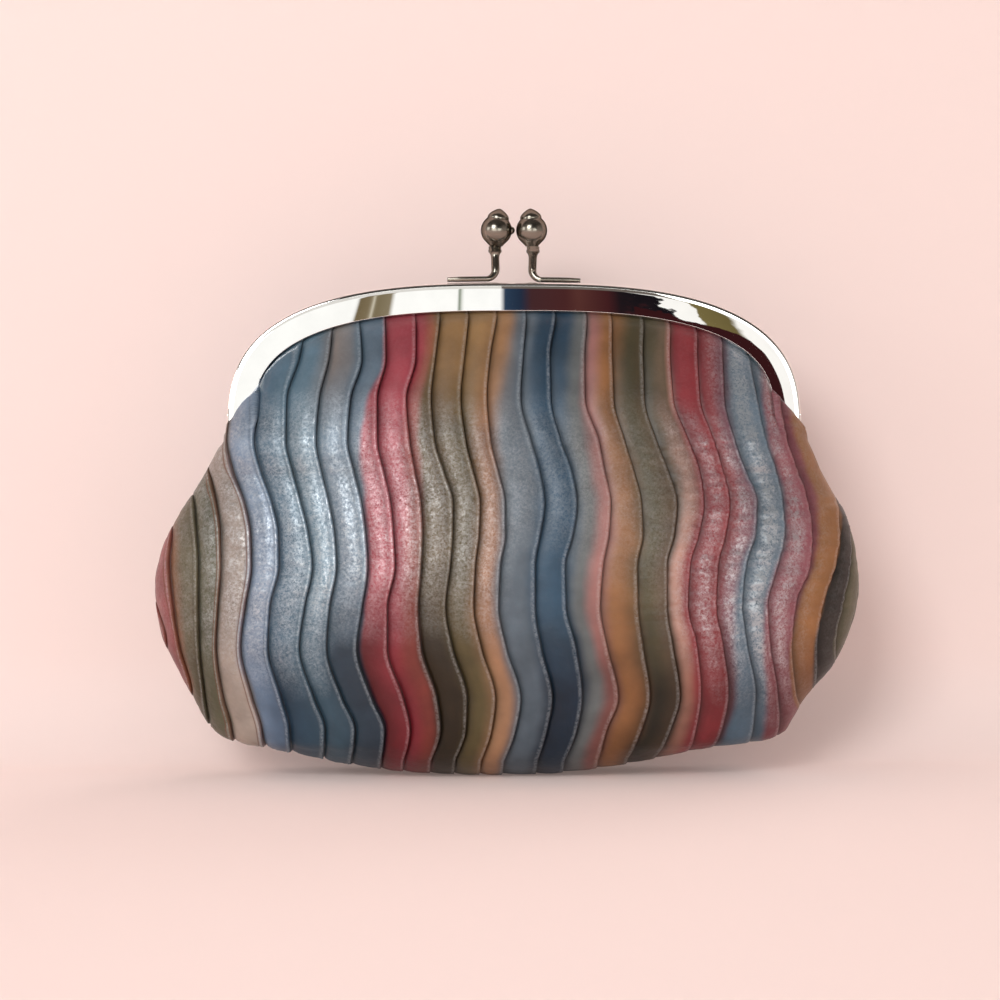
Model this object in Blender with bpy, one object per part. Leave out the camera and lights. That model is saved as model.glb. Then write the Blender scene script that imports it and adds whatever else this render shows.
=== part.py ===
"""Pleated leather frame purse with a kiss-lock clasp, closed and standing on its base.

Metres, +Z up. The front faces -Y, the mouth faces +Z, and the origin lies on the
ground under the middle of the purse. Both frame halves turn about one line along X,
through the two rivets. The front half of each pair is modelled, and the rear half is
its mirror image, apart from the hinge ears, which overlap in two layers.
"""

import math

import bmesh
import bpy
import numpy as np

# Metal frame: two pressed channels that hinge at the foot of their arms
FRAME_WIDTH = 0.1350
ARCH_RISE = 0.0353
ARM_LENGTH = 0.0020
ARCH_POWER = 2.85
BAND_WIDTH = 0.0066
ARM_BAND_WIDTH = 0.0060
INNER_WALL_WIDTH = 0.0054
FRAME_DEPTH = 0.0104
FRAME_SHEET = 0.0008
OUTER_EDGE_RADIUS = 0.0014
INNER_EDGE_RADIUS = 0.0007
CLEARANCE = 0.0003

# Hinge: round ears on one rivet at each side
HINGE_HEIGHT = 0.0780
EAR_RADIUS = 0.0030
EAR_THINNING = 0.0002
EAR_NECK_HEIGHT = 0.0065
RIVET_DIAMETER = 0.0020
RIVET_HEAD_DIAMETER = 0.0038
RIVET_HEAD_HEIGHT = 0.0006

# Kiss-lock: a bent stem and a ball on each half
BALL_DIAMETER = 0.0071
BALL_HEIGHT = 0.0124
BALL_GAP = 0.0012
NUB_DIAMETER = 0.0013
FINIAL_HEIGHT = 0.0018
FINIAL_DIAMETER = 0.0022
COLLAR_DIAMETER = 0.0031
COLLAR_HEIGHT = 0.0016
STEM_WIDTH = 0.0019
STEM_BEND_RADIUS = 0.0014
FOOT_REACH = 0.0158
FOOT_HEIGHT = 0.0012
FOOT_DEPTH = 0.0034

# Leather bag and its lining
BAG_WIDTH = 0.1664
BAG_DEPTH = 0.0500
WIDEST_HEIGHT = 0.0440
BASE_WIDTH = 0.0600
BASE_DEPTH = 0.0180
MOUTH_DEPTH = 0.0414
HINGE_OVERHANG = 0.0010
HINGE_COVER = 0.0068
LEATHER = 0.0010
LINING = 0.0004
FOLD_HEIGHT = 0.0083
TUCK_DEPTH = 0.0046
LIP_ROOM = 0.0011
HEM = 0.0003
SECTION_POWER = 2.8
BULGE_POWER = 0.55

# Paper cord pressed into the channel behind the lining
PAPER_CORD_WIDTH = 0.0024
PAPER_CORD_RISE = 0.0080

# Rows from the base to the widest height: height, width and depth gained, as shares
LOWER_ROW_SHARES = (
    (0.034, 0.150, 0.220),
    (0.068, 0.235, 0.375),
    (0.130, 0.348, 0.550),
    (0.173, 0.526, 0.640),
    (0.195, 0.667, 0.680),
    (0.239, 0.727, 0.740),
    (0.409, 0.799, 0.875),
    (0.591, 0.902, 0.960),
    (0.773, 0.974, 1.000),
    (1.000, 1.000, 1.000),
)
# Rows from the widest height to the hinge: height, width and depth left, hinge cover
UPPER_ROW_SHARES = (
    (0.235, 0.918, 0.910, 0.00),
    (0.471, 0.714, 0.740, 0.00),
    (0.647, 0.470, 0.500, 0.00),
    (0.756, 0.320, 0.350, 0.18),
    (0.853, 0.190, 0.220, 0.60),
    (0.912, 0.110, 0.130, 0.85),
    (1.000, 0.000, 0.000, 1.00),
)
# Upper panel: rows from the hinge line to the frame's lip, as shares of that run
RISE_SHARES = (0.22, 0.42, 0.60, 0.76, 0.88, 0.96, 1.00)
# Upper panel: the part of its half width that is tucked in, the rest covers the arm
TUCKED_SHARE = 0.85
COVER_COLUMN_SHARES = (0.06, 0.30, 0.62, 1.00)
# Base: how far along X the bottom seam reaches, as a share of the base
SEAM_REACH_SHARE = 0.80
# The arm's cover: where it starts on the lip and how it ends beside the arm
COVER_START_SHARE = 0.88
COVER_LIFT_SHARE = 0.06

# Finial: the radius at its foot, as a share of its diameter
FINIAL_FOOT_SHARE = 0.36
# Steps across and up the leather, as shares, over which its outward direction is taken
NORMAL_ACROSS_SHARE = 0.004
NORMAL_UP_SHARE = 0.03

TUCKED_COLUMNS = 8
ARCH_STATIONS = 36
LIP_STATIONS = 400
ROUND_SIDES = 16
SHARP_ANGLE = 35

FRONT_Y = -FRAME_DEPTH / 2
CHANNEL_LEATHER_Y = FRONT_Y + FRAME_SHEET + CLEARANCE + LEATHER / 2
LINING_INSET = LEATHER / 2 + CLEARANCE + LINING / 2
CHANNEL_LINING_Y = CHANNEL_LEATHER_Y + LINING_INSET
INNER_WALL_Y = -(CLEARANCE / 2 + FRAME_SHEET)
HALF_SEAM = CLEARANCE / 2
ARCH_FOOT = HINGE_HEIGHT + ARM_LENGTH
WALL_END = HINGE_HEIGHT + EAR_RADIUS + 2 * CLEARANCE


def clear_scene():
    for old in list(bpy.data.objects):
        bpy.data.objects.remove(old, do_unlink=True)


def make_material(name, colour, roughness, metallic):
    material = bpy.data.materials.new(name)
    material.use_nodes = True
    shader = material.node_tree.nodes["Principled BSDF"]
    shader.inputs["Base Color"].default_value = (*colour, 1.0)
    shader.inputs["Roughness"].default_value = roughness
    shader.inputs["Metallic"].default_value = metallic
    material.diffuse_color = (*colour, 1.0)
    return material


def make_axis(name):
    axis = bpy.data.objects.new(name, None)
    axis.location = (0.0, 0.0, HINGE_HEIGHT)
    axis.empty_display_size = FRAME_DEPTH
    bpy.context.scene.collection.objects.link(axis)
    return axis


def make_object(name, points, faces, material, parent=None):
    """A named object with its mesh given in world places, under its hinge axis if it moves."""
    base = np.array((0.0, 0.0, HINGE_HEIGHT)) if parent else np.zeros(3)
    mesh = bpy.data.meshes.new(name)
    mesh.from_pydata([tuple(point) for point in np.asarray(points) - base], [], faces)
    mesh.materials.append(material)
    mesh.shade_smooth()
    mesh.set_sharp_from_angle(angle=math.radians(SHARP_ANGLE))
    item = bpy.data.objects.new(name, mesh)
    item.parent = parent
    bpy.context.scene.collection.objects.link(item)
    return item


def combine(item, other, operation):
    """Joins or cuts with another object, which is kept as a hidden guide."""
    other.hide_render = True
    other.display_type = "WIRE"
    change = item.modifiers.new(operation.lower(), "BOOLEAN")
    change.operation = operation
    change.solver = "EXACT"
    change.object = other


def mirrored(points, faces):
    """The same solid on the other side of the closing plane."""
    flipped = np.array(points) * (1.0, -1.0, 1.0)
    return flipped, [tuple(reversed(face)) for face in faces]


def loft(rings):
    """A closed solid through rings of points that all run the same way round."""
    rings = np.asarray(rings)
    count, sides = rings.shape[:2]
    faces = [tuple(range(sides))[::-1]]
    faces.append(tuple((count - 1) * sides + side for side in range(sides)))
    for ring in range(count - 1):
        for side in range(sides):
            after = (side + 1) % sides
            faces.append((ring * sides + side, ring * sides + after,
                          (ring + 1) * sides + after, (ring + 1) * sides + side))
    return rings.reshape(-1, 3), faces


def turned(profile, centre, axis):
    """Rings round an axis: the profile holds places along the axis and their radii."""
    along = {"X": (1.0, 0.0, 0.0), "Z": (0.0, 0.0, 1.0)}[axis]
    first = {"X": (0.0, 1.0, 0.0), "Z": (1.0, 0.0, 0.0)}[axis]
    second = np.cross(along, first)
    angles = np.arange(ROUND_SIDES) * 2 * math.pi / ROUND_SIDES
    spokes = np.outer(np.cos(angles), first) + np.outer(np.sin(angles), second)
    return loft([np.array(centre) + place * np.array(along) + radius * spokes
                 for place, radius in profile])


def sheet_solid(points, normals, thickness, floor_y=None):
    """A grid of places given a wall on both sides: rows run up, columns along +X."""
    outer = points + normals * thickness / 2
    inner = points - normals * thickness / 2
    if floor_y is not None:
        outer[..., 1] = np.minimum(outer[..., 1], floor_y)
        inner[..., 1] = np.minimum(inner[..., 1], floor_y)
    rows, columns = points.shape[:2]
    index = np.arange(rows * columns).reshape(rows, columns)
    back = index + rows * columns
    faces = []
    for row in range(rows - 1):
        for column in range(columns - 1):
            quad = (row, column), (row, column + 1), (row + 1, column + 1), (row + 1, column)
            for half in (quad[:3], (quad[0], *quad[2:])):
                faces.append(tuple(int(index[place]) for place in half))
                faces.append(tuple(int(back[place]) for place in half[::-1]))
    for row in range(rows - 1):
        for column, (low, high) in ((0, (row, row + 1)), (columns - 1, (row + 1, row))):
            faces.append(tuple(int(place) for place in (
                index[low, column], index[high, column], back[high, column], back[low, column])))
    for column in range(columns - 1):
        for row, (left, right) in ((0, (column + 1, column)), (rows - 1, (column, column + 1))):
            faces.append(tuple(int(place) for place in (
                index[row, left], index[row, right], back[row, right], back[row, left])))
    return np.concatenate([outer.reshape(-1, 3), inner.reshape(-1, 3)]), faces


def arch_point(turn):
    """Outline of the frame as a superellipse; turn runs from 0 at +X to pi at -X."""
    cosine, sine = np.cos(turn), np.maximum(np.sin(turn), 0.0)
    power = 2.0 / ARCH_POWER
    across = np.sign(cosine) * np.abs(cosine) ** power * FRAME_WIDTH / 2
    height = ARCH_FOOT + sine ** power * ARCH_RISE
    return np.stack([across, height], axis=-1)


def arch_stations(lowest, count):
    """Places at equal steps along the outline from left to right, with inward directions."""
    fine = arch_point(np.linspace(math.pi, 0.0, 4001))
    fine = fine[fine[:, 1] >= lowest]
    run = np.concatenate([[0.0], np.cumsum(np.hypot(*np.diff(fine, axis=0).T))])
    at = np.linspace(0.0, run[-1], count + 1)
    places = np.stack([np.interp(at, run, fine[:, 0]), np.interp(at, run, fine[:, 1])], axis=-1)
    along = np.gradient(places, at, axis=0, edge_order=2)
    along /= np.linalg.norm(along, axis=1, keepdims=True)
    inward = np.stack([along[:, 1], -along[:, 0]], axis=-1)
    return places, inward


def band_width_at(height):
    """The front wall is a little narrower down the arms than at the top."""
    share = np.clip((height - HINGE_HEIGHT) / (ARCH_RISE + ARM_LENGTH), 0.0, 1.0)
    return ARM_BAND_WIDTH + (BAND_WIDTH - ARM_BAND_WIDTH) * share


def bend(centre, radius, start, end, steps):
    """Points of an arc in the channel's own section, from one angle to another in degrees."""
    angles = np.radians(np.linspace(start, end, steps))
    return [(centre[0] + radius * math.cos(angle), centre[1] + radius * math.sin(angle))
            for angle in angles]


def channel_section(band):
    """Middle line of the pressed channel, from the front lip round the web to the inner lip.

    Each point is its distance in from the outline and its place along Y.
    """
    half = FRAME_SHEET / 2
    front_radius = OUTER_EDGE_RADIUS - half
    inner_radius = INNER_EDGE_RADIUS
    front_centre = (OUTER_EDGE_RADIUS, FRONT_Y + OUTER_EDGE_RADIUS)
    inner_y = INNER_WALL_Y + half
    inner_centre = (half + inner_radius, inner_y - inner_radius)
    line = [(band, FRONT_Y + half), ((band + OUTER_EDGE_RADIUS) / 2, FRONT_Y + half)]
    line += bend(front_centre, front_radius, 270, 180, 4)
    line += bend(inner_centre, inner_radius, 180, 90, 3)
    line += [(INNER_WALL_WIDTH, inner_y)]
    return np.array(line)


def frame_channel():
    """The channel swept along the arch, as a grid: rows follow the section."""
    places, inward = arch_stations(WALL_END, ARCH_STATIONS)
    bands = band_width_at(places[:, 1])
    lines = np.stack([channel_section(band) for band in bands], axis=1)
    points = np.empty(lines.shape[:2] + (3,))
    points[..., 0] = places[:, 0] + lines[..., 0] * inward[:, 0]
    points[..., 1] = lines[..., 1]
    points[..., 2] = places[:, 1] + lines[..., 0] * inward[:, 1]
    along = np.gradient(points, axis=1)
    across = np.gradient(points, axis=0)
    normals = np.cross(along, across)
    normals /= np.linalg.norm(normals, axis=2, keepdims=True)
    return sheet_solid(points, normals, FRAME_SHEET)


def plate(outline, low, high):
    """A flat plate across X between two places, from an outline of (y, z) places."""
    rings = [[(place, y, z) for y, z in outline] for place in (low, high)]
    return loft(rings)


def ear_outline(front):
    """A round ear on the hinge axis with a neck up the channel, seen along X."""
    inner = -HALF_SEAM if front else -(HALF_SEAM + FRAME_SHEET / 2)
    outer = FRONT_Y + EAR_THINNING
    top = HINGE_HEIGHT + EAR_NECK_HEIGHT
    start = math.degrees(math.asin(-inner / EAR_RADIUS)) + 90
    angles = np.radians(np.linspace(start, -180, ROUND_SIDES))
    places = [(inner, top)]
    places += [(EAR_RADIUS * math.cos(angle), HINGE_HEIGHT + EAR_RADIUS * math.sin(angle))
               for angle in angles]
    places += [(outer, WALL_END - EAR_RADIUS / 2), (outer, top)]
    return places


def ear_layer(front):
    """The two X places between which an ear lies: the front ear outside, the rear one inside."""
    outside = FRAME_WIDTH / 2 - EAR_THINNING / 2
    if not front:
        outside -= FRAME_SHEET + CLEARANCE
    return outside - FRAME_SHEET + EAR_THINNING, outside


def arm_foot_outline():
    """The front wall's stretch beside the ear, down to the hinge axis, seen along X."""
    near = FRONT_Y + EAR_THINNING / 2
    far = FRONT_Y + FRAME_SHEET - EAR_THINNING / 2
    top = WALL_END + FRAME_SHEET
    return [(near, HINGE_HEIGHT), (near, top), (far, top), (far, HINGE_HEIGHT)]


def build_frame(name, front, material, parent):
    points, faces = frame_channel()
    if not front:
        points, faces = mirrored(points, faces)
    frame = make_object(name, points, faces, material, parent)
    low, high = ear_layer(front)
    foot_low = FRAME_WIDTH / 2 - ARM_BAND_WIDTH
    foot_high = FRAME_WIDTH / 2 - OUTER_EDGE_RADIUS
    hole_half = (RIVET_DIAMETER / 2 + CLEARANCE)
    for side, sign in (("left", -1), ("right", 1)):
        shapes = (("ear", ear_outline(front), low, high),
                  ("arm_foot", arm_foot_outline(), foot_low, foot_high))
        for part, outline, near, far in shapes:
            points, faces = plate(outline, *sorted((sign * near, sign * far)))
            if not front:
                points, faces = mirrored(points, faces)
            guide = make_object(f"{name}_{side}_{part}_guide", points, faces, material, parent)
            outward_faces(guide)
            combine(frame, guide, "UNION")
        reach = [(-FRAME_SHEET - CLEARANCE, hole_half), (FRAME_SHEET + CLEARANCE, hole_half)]
        middle = sign * (low + high) / 2
        points, faces = turned(reach, (middle, 0.0, HINGE_HEIGHT), "X")
        drill = make_object(f"{name}_{side}_rivet_hole_guide", points, faces, material, parent)
        combine(frame, drill, "DIFFERENCE")
    return frame


def outward_faces(item):
    """Turns all faces of a closed shape outwards."""
    shape = bmesh.new()
    shape.from_mesh(item.data)
    bmesh.ops.recalc_face_normals(shape, faces=shape.faces)
    shape.to_mesh(item.data)
    shape.free()


def build_rivet(name, sign, material, parent):
    """A headed pin through both ears, with a low crown on each head."""
    shank = RIVET_DIAMETER / 2
    head = RIVET_HEAD_DIAMETER / 2
    outside = FRAME_WIDTH / 2 + CLEARANCE
    inside = FRAME_WIDTH / 2 - 2 * (FRAME_SHEET + CLEARANCE)
    crown = RIVET_HEAD_HEIGHT / 2
    profile = [(inside - RIVET_HEAD_HEIGHT, shank), (inside - crown, head), (inside, head),
               (inside, shank), (outside, shank), (outside, head), (outside + crown, head),
               (outside + RIVET_HEAD_HEIGHT, shank)]
    if sign < 0:
        profile = [(-place, radius) for place, radius in reversed(profile)]
    points, faces = turned(profile, (0.0, 0.0, HINGE_HEIGHT), "X")
    return make_object(name, points, faces, material, parent)


def knob_places(front):
    """Where a half's knob stands: its side of the middle, its foot's Y and its ball's centre."""
    side = -1 if front else 1
    out = -1 if front else 1
    foot_y = out * (FRAME_DEPTH / 4 + HALF_SEAM)
    top = HINGE_HEIGHT + ARM_LENGTH + ARCH_RISE
    ball = (side * (BALL_DIAMETER + BALL_GAP) / 2, -out * HALF_SEAM, top + BALL_HEIGHT)
    return side, foot_y, top, ball


def build_stem(name, front, material, parent):
    """A strip soldered along the top of the arch that bends up into a stem with a collar."""
    side, foot_y, top, ball = knob_places(front)
    lift = CLEARANCE + FOOT_HEIGHT / 2
    stem_x = abs(ball[0])
    flat = np.linspace(FOOT_REACH, stem_x + STEM_BEND_RADIUS, 5)
    fine = arch_point(np.linspace(math.pi / 2, 0.0, 2001))
    path = [(x, foot_y, np.interp(x, fine[:, 0], fine[:, 1]) + lift, FOOT_HEIGHT, FOOT_DEPTH, 0.0)
            for x in flat]
    bend_z = path[-1][2] + STEM_BEND_RADIUS
    for share in (1 / 3, 2 / 3, 1):
        angle = share * math.pi / 2
        width = FOOT_HEIGHT + (STEM_WIDTH - FOOT_HEIGHT) * share
        depth = FOOT_DEPTH + (STEM_WIDTH - FOOT_DEPTH) * share
        path.append((stem_x + STEM_BEND_RADIUS * (1 - math.sin(angle)), foot_y,
                     bend_z - STEM_BEND_RADIUS * math.cos(angle), width, depth, angle))
    neck_z = ball[2] - BALL_DIAMETER / 2 - CLEARANCE
    for z, size in ((neck_z - 2 * COLLAR_HEIGHT, STEM_WIDTH),
                    (neck_z - COLLAR_HEIGHT, COLLAR_DIAMETER), (neck_z, STEM_WIDTH)):
        lean = (z - bend_z) / (neck_z - bend_z)
        path.append((stem_x, foot_y + (ball[1] - foot_y) * lean, z, size, size, math.pi / 2))
    rings = []
    angles = np.arange(12) * math.pi / 6
    for x, y, z, width, depth, turn in path:
        round_share = turn / (math.pi / 2)
        squareness = 0.5 + round_share / 2
        cosine, sine = np.cos(angles), np.sin(angles)
        across = np.sign(cosine) * np.abs(cosine) ** squareness * width / 2
        deep = np.sign(sine) * np.abs(sine) ** squareness * depth / 2
        rings.append(np.stack([side * (x + across * math.sin(turn)), y + deep,
                               z + across * math.cos(turn)], axis=-1))
    points, faces = loft(rings)
    stem = make_object(name, points, faces, material, parent)
    outward_faces(stem)
    return stem


def build_ball(name, front, material, parent):
    """The ball that the fingers snap: a sphere with a small pointed finial on top."""
    side, foot_y, top, ball = knob_places(front)
    radius = BALL_DIAMETER / 2
    seat = math.asin(STEM_WIDTH / BALL_DIAMETER)
    finial = math.asin(FINIAL_DIAMETER / BALL_DIAMETER)
    turns = np.linspace(seat, math.pi - finial, 11)
    profile = [(-radius * math.cos(turn), radius * math.sin(turn)) for turn in turns]
    height = radius + FINIAL_HEIGHT
    profile += [(radius + FINIAL_HEIGHT / 3, FINIAL_DIAMETER * FINIAL_FOOT_SHARE),
                (height - FINIAL_HEIGHT / 3, FINIAL_DIAMETER / 4), (height, FINIAL_DIAMETER / 10)]
    points, faces = turned(profile, ball, "Z")
    knob = make_object(name, points, faces, material, parent)
    if front:
        reach = radius + BALL_GAP - CLEARANCE
        nub = NUB_DIAMETER / 2
        nose = [(radius - NUB_DIAMETER, nub), (reach - nub / 2, nub), (reach, nub / 2)]
        points, faces = turned(nose, ball, "X")
        guide = make_object(f"{name}_nub_guide", points, faces, material, parent)
        combine(knob, guide, "UNION")
    return knob


def bag_rows():
    """Heights of the bag's rows with their half widths, half depths and hinge covers."""
    base = np.array((0.0, BASE_WIDTH / 2, BASE_DEPTH / 2, 0.0))
    widest = np.array((WIDEST_HEIGHT, BAG_WIDTH / 2, BAG_DEPTH / 2, 0.0))
    mouth = np.array((HINGE_HEIGHT, FRAME_WIDTH / 2 + HINGE_OVERHANG, MOUTH_DEPTH / 2, HINGE_COVER))
    rows = [base]
    rows += [base + (widest - base) * np.array((*shares, 0.0)) for shares in LOWER_ROW_SHARES]
    for up, wide, deep, cover in UPPER_ROW_SHARES:
        left = np.array((1.0 - up, wide, deep, 1.0 - cover))
        rows.append(mouth + (widest - mouth) * left)
    return np.array(rows)


ROWS = bag_rows()


def bag_section(height, share):
    """One level round of the bag, at shares of its length from the middle to the seam.

    x follows w sin(a)^(2/p) and y follows c + (d - c) cos(a), so the bag is full at the
    front and turns in roundly at the seam, or at c in front of the hinge.
    """
    half = LEATHER / 2
    width = np.interp(height, ROWS[:, 0], ROWS[:, 1]) - half
    depth = np.interp(height, ROWS[:, 0], ROWS[:, 2]) - half
    cover = max(np.interp(height, ROWS[:, 0], ROWS[:, 3]), HALF_SEAM)
    turn = np.linspace(0.0, math.pi / 2, 400)
    across = width * np.sin(turn) ** (2 / SECTION_POWER)
    deep = cover + (depth - cover) * np.cos(turn)
    run = np.concatenate([[0.0], np.cumsum(np.hypot(np.diff(across), np.diff(deep)))])
    at = np.abs(share) * run[-1]
    level = np.full_like(share, max(height, half))
    return np.stack([np.sign(share) * np.interp(at, run, across),
                     -np.interp(at, run, deep), level], axis=-1)


def lip_line(extra, share):
    """Places beside the frame's lip, a given distance further in, at shares of the tucked run."""
    places, inward = arch_stations(ARCH_FOOT, LIP_STATIONS)
    line = places + inward * (band_width_at(places[:, 1]) + extra)[:, None]
    right = line[line[:, 0] >= 0]
    reach = COVER_START_SHARE * FRAME_WIDTH / 2
    across = np.abs(share) * reach
    return np.sign(share) * across, np.interp(across, right[:, 0], right[:, 1])


def cover_edge(share, tuck):
    """The hemmed free edge in front of the arm; share runs from the lip to the hinge."""
    start_x, start_z = lip_line(LIP_ROOM, np.array([1.0]))
    end_x = FRAME_WIDTH / 2 + HINGE_OVERHANG / 2
    end_z = ARCH_FOOT + HINGE_OVERHANG
    across = start_x + (end_x - start_x) * share
    height = start_z + (end_z - start_z) * share
    lift = np.clip(share / COVER_LIFT_SHARE, 0.0, 1.0)
    lip_y = CHANNEL_LEATHER_Y
    slope = math.atan2(end_z - start_z[0], end_x - start_x[0])
    hem = HEM * tuck
    return (across - hem * math.sin(slope), lip_y + (-HINGE_COVER - lip_y) * lift,
            height + hem * math.cos(slope))


def upper_top(share, tuck):
    """The upper panel's edge for each column: in the channel, or in front of the arm.

    tuck runs from 0, beside the lip, to 1, deep in the channel.
    """
    inside = np.clip(np.abs(share) / TUCKED_SHARE, 0.0, 1.0)
    beyond = np.clip((np.abs(share) - TUCKED_SHARE) / (1.0 - TUCKED_SHARE), 0.0, 1.0)
    fade = np.clip((1.0 - inside) / (1.0 - COVER_START_SHARE), 0.0, 1.0)
    depth = LIP_ROOM - tuck * np.maximum((TUCK_DEPTH + LIP_ROOM) * fade, HEM)
    points = np.empty(share.shape + (3,))
    places, inward = arch_stations(ARCH_FOOT, LIP_STATIONS)
    line = places + inward * (band_width_at(places[:, 1]) + LIP_ROOM)[:, None]
    reach = COVER_START_SHARE * FRAME_WIDTH / 2
    for column, (inner, deep) in enumerate(zip(inside, depth)):
        at = int(np.argmin(np.abs(line[:, 0] - inner * reach) + np.where(line[:, 0] < 0, 1, 0)))
        place = places[at] + inward[at] * (band_width_at(places[at, 1]) + deep)
        points[column] = (place[0], CHANNEL_LEATHER_Y, place[1])
    across, out, height = cover_edge(beyond, tuck)
    edge = np.stack([across, out, height], axis=-1)
    points = np.where(beyond[:, None] > 0, edge, points)
    points[:, 0] *= np.sign(share)
    return points


def front_surface(share, place):
    """Middle of the front leather at shares across and at one place up the bag.

    place runs from 0 at the bottom seam to 1 at the base's edge, to 2 at the hinge line,
    to 3 beside the frame's lip and to 4 deep in the channel.
    """
    if place <= 1.0:
        edge = bag_section(0.0, share)
        seam = edge * (SEAM_REACH_SHARE, 0.0, 1.0) - (0.0, HALF_SEAM, 0.0)
        return seam + (edge - seam) * place
    if place <= 2.0:
        return bag_section((place - 1.0) * HINGE_HEIGHT, share)
    if place <= 3.0:
        low = bag_section(HINGE_HEIGHT, share)
        top = upper_top(share, 0.0)
        rise = place - 2.0
        points = low + (top - low) * rise
        points[:, 1] = top[:, 1] + (low[:, 1] - top[:, 1]) * (1.0 - rise) ** BULGE_POWER
        return points
    return upper_top(share, place - 3.0)


def unit(vectors):
    return vectors / np.maximum(np.linalg.norm(vectors, axis=-1, keepdims=True), 1e-12)


def surface_normals(shares, place):
    """Outward directions of the front leather; the base faces straight down."""
    if place <= 1.0:
        return np.tile((0.0, 0.0, -1.0), (len(shares), 1))
    here = front_surface(shares, place)
    left = front_surface(np.maximum(shares - NORMAL_ACROSS_SHARE, -1.0), place)
    right = front_surface(np.minimum(shares + NORMAL_ACROSS_SHARE, 1.0), place)
    above = unit(front_surface(shares, min(place + NORMAL_UP_SHARE, 4.0)) - here)
    below = unit(here - front_surface(shares, max(place - NORMAL_UP_SHARE, 1.0)))
    return unit(np.cross(unit(right - left), unit(above + below)))


def surface_grid(shares, places, inset):
    """Points of the front leather, moved inwards by inset, with outward normals."""
    normals = np.array([surface_normals(shares, place) for place in places])
    points = np.array([front_surface(shares, place) for place in places])
    return points - normals * inset, normals


def height_place(height):
    return 1.0 + height / HINGE_HEIGHT


def lower_places():
    cut = HINGE_HEIGHT - FOLD_HEIGHT - CLEARANCE / 2
    heights = [height for height in ROWS[1:, 0] if height < cut - LEATHER]
    return [0.0, 1.0] + [height_place(height) for height in heights + [cut]]


def fold_places():
    low = HINGE_HEIGHT - FOLD_HEIGHT + CLEARANCE / 2
    high = HINGE_HEIGHT - CLEARANCE
    heights = [height for height in ROWS[:, 0] if low + LEATHER < height < high - LEATHER]
    return [height_place(height) for height in [low] + heights + [high]]


def upper_places():
    return [2.0] + [2.0 + share for share in RISE_SHARES] + [4.0]


def column_shares(lining, upper):
    """Columns across the bag; the lining has fewer below the mouth and covers no arm."""
    tucked = np.linspace(0.0, TUCKED_SHARE, TUCKED_COLUMNS + 1)
    cover = TUCKED_SHARE + (1.0 - TUCKED_SHARE) * np.array(COVER_COLUMN_SHARES)
    if lining and upper:
        cover = cover[:0]
    elif lining:
        tucked, cover = tucked[::2], cover[1::2]
    right = np.concatenate([tucked, cover])
    return np.concatenate([-right[:0:-1], right])


def build_sheet(name, front, lining, places, material, parent):
    """One stretch of leather or lining, with an even wall, front or rear."""
    shares = column_shares(lining, places[0] >= 2.0)
    inset = LINING_INSET if lining else 0.0
    wall = LINING if lining else LEATHER
    points, normals = surface_grid(shares, places, inset)
    points, faces = sheet_solid(points, normals, wall, -HALF_SEAM)
    if not front:
        points, faces = mirrored(points, faces)
    return make_object(name, points, faces, material, parent)


def build_paper_cord(name, front, material, parent):
    """Twisted paper pressed into the channel, between the lining and the inner wall."""
    places, inward = arch_stations(HINGE_HEIGHT + PAPER_CORD_RISE, ARCH_STATIONS)
    near = CHANNEL_LINING_Y + LINING / 2 + CLEARANCE
    far = INNER_WALL_Y - CLEARANCE
    middle = INNER_WALL_WIDTH - PAPER_CORD_WIDTH / 2
    turn = np.arange(6) * math.pi / 3
    deep = middle + np.cos(turn) * PAPER_CORD_WIDTH / 2
    out = (near + far) / 2 + np.sin(turn) * (far - near) / 2
    rings = [np.stack([place[0] + deep * into[0], out, place[1] + deep * into[1]], axis=-1)
             for place, into in zip(places, inward)]
    points, faces = loft(rings)
    if not front:
        points, faces = mirrored(points, faces)
    cord = make_object(name, points, faces, material, parent)
    outward_faces(cord)
    return cord


def build_half(side, front, parent, materials):
    """Everything of the front or the rear half, from the frame down to the base."""
    build_frame(f"{side}_frame", front, materials["frame"], parent)
    build_paper_cord(f"{side}_paper_cord", front, materials["paper"], parent)
    for lining, kind, material in ((False, "panel", "leather"), (True, "lining", "lining")):
        stretches = (("upper", upper_places(), parent), ("fold", fold_places(), None),
                     ("lower", lower_places(), None))
        for stretch, places, owner in stretches:
            build_sheet(f"{side}_{kind}_{stretch}", front, lining, places,
                        materials[material], owner)


def main():
    clear_scene()
    materials = {
        "frame": make_material("polished_nickel", (0.78, 0.77, 0.76), 0.12, 1.0),
        "knob": make_material("dark_nickel", (0.46, 0.43, 0.40), 0.2, 1.0),
        "leather": make_material("pearl_leather", (0.30, 0.25, 0.27), 0.4, 0.25),
        "lining": make_material("lining_cloth", (0.12, 0.09, 0.08), 0.8, 0.0),
        "paper": make_material("paper_cord", (0.62, 0.52, 0.38), 0.9, 0.0),
    }
    front_axis = make_axis("front_half_axis")
    rear_axis = make_axis("rear_half_axis")
    build_half("front", True, front_axis, materials)
    build_half("rear", False, rear_axis, materials)
    build_stem("left_knob_stem", True, materials["knob"], front_axis)
    build_ball("left_knob_ball", True, materials["knob"], front_axis)
    build_stem("right_knob_stem", False, materials["knob"], rear_axis)
    build_ball("right_knob_ball", False, materials["knob"], rear_axis)
    build_rivet("left_hinge_rivet", -1, materials["frame"], rear_axis)
    build_rivet("right_hinge_rivet", 1, materials["frame"], rear_axis)


main()
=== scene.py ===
# %% [markdown]
# # A frame purse in pleated pearly leather
# The purse has two pressed metal channels that hinge at their feet and hold a
# pleated bag. A pair of ball knobs snaps past each other to close it.
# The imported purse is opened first, with every solid at its real place. The
# surfaces below are laid over those solids, so nothing is resized or moved.

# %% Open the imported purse
import math

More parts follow.
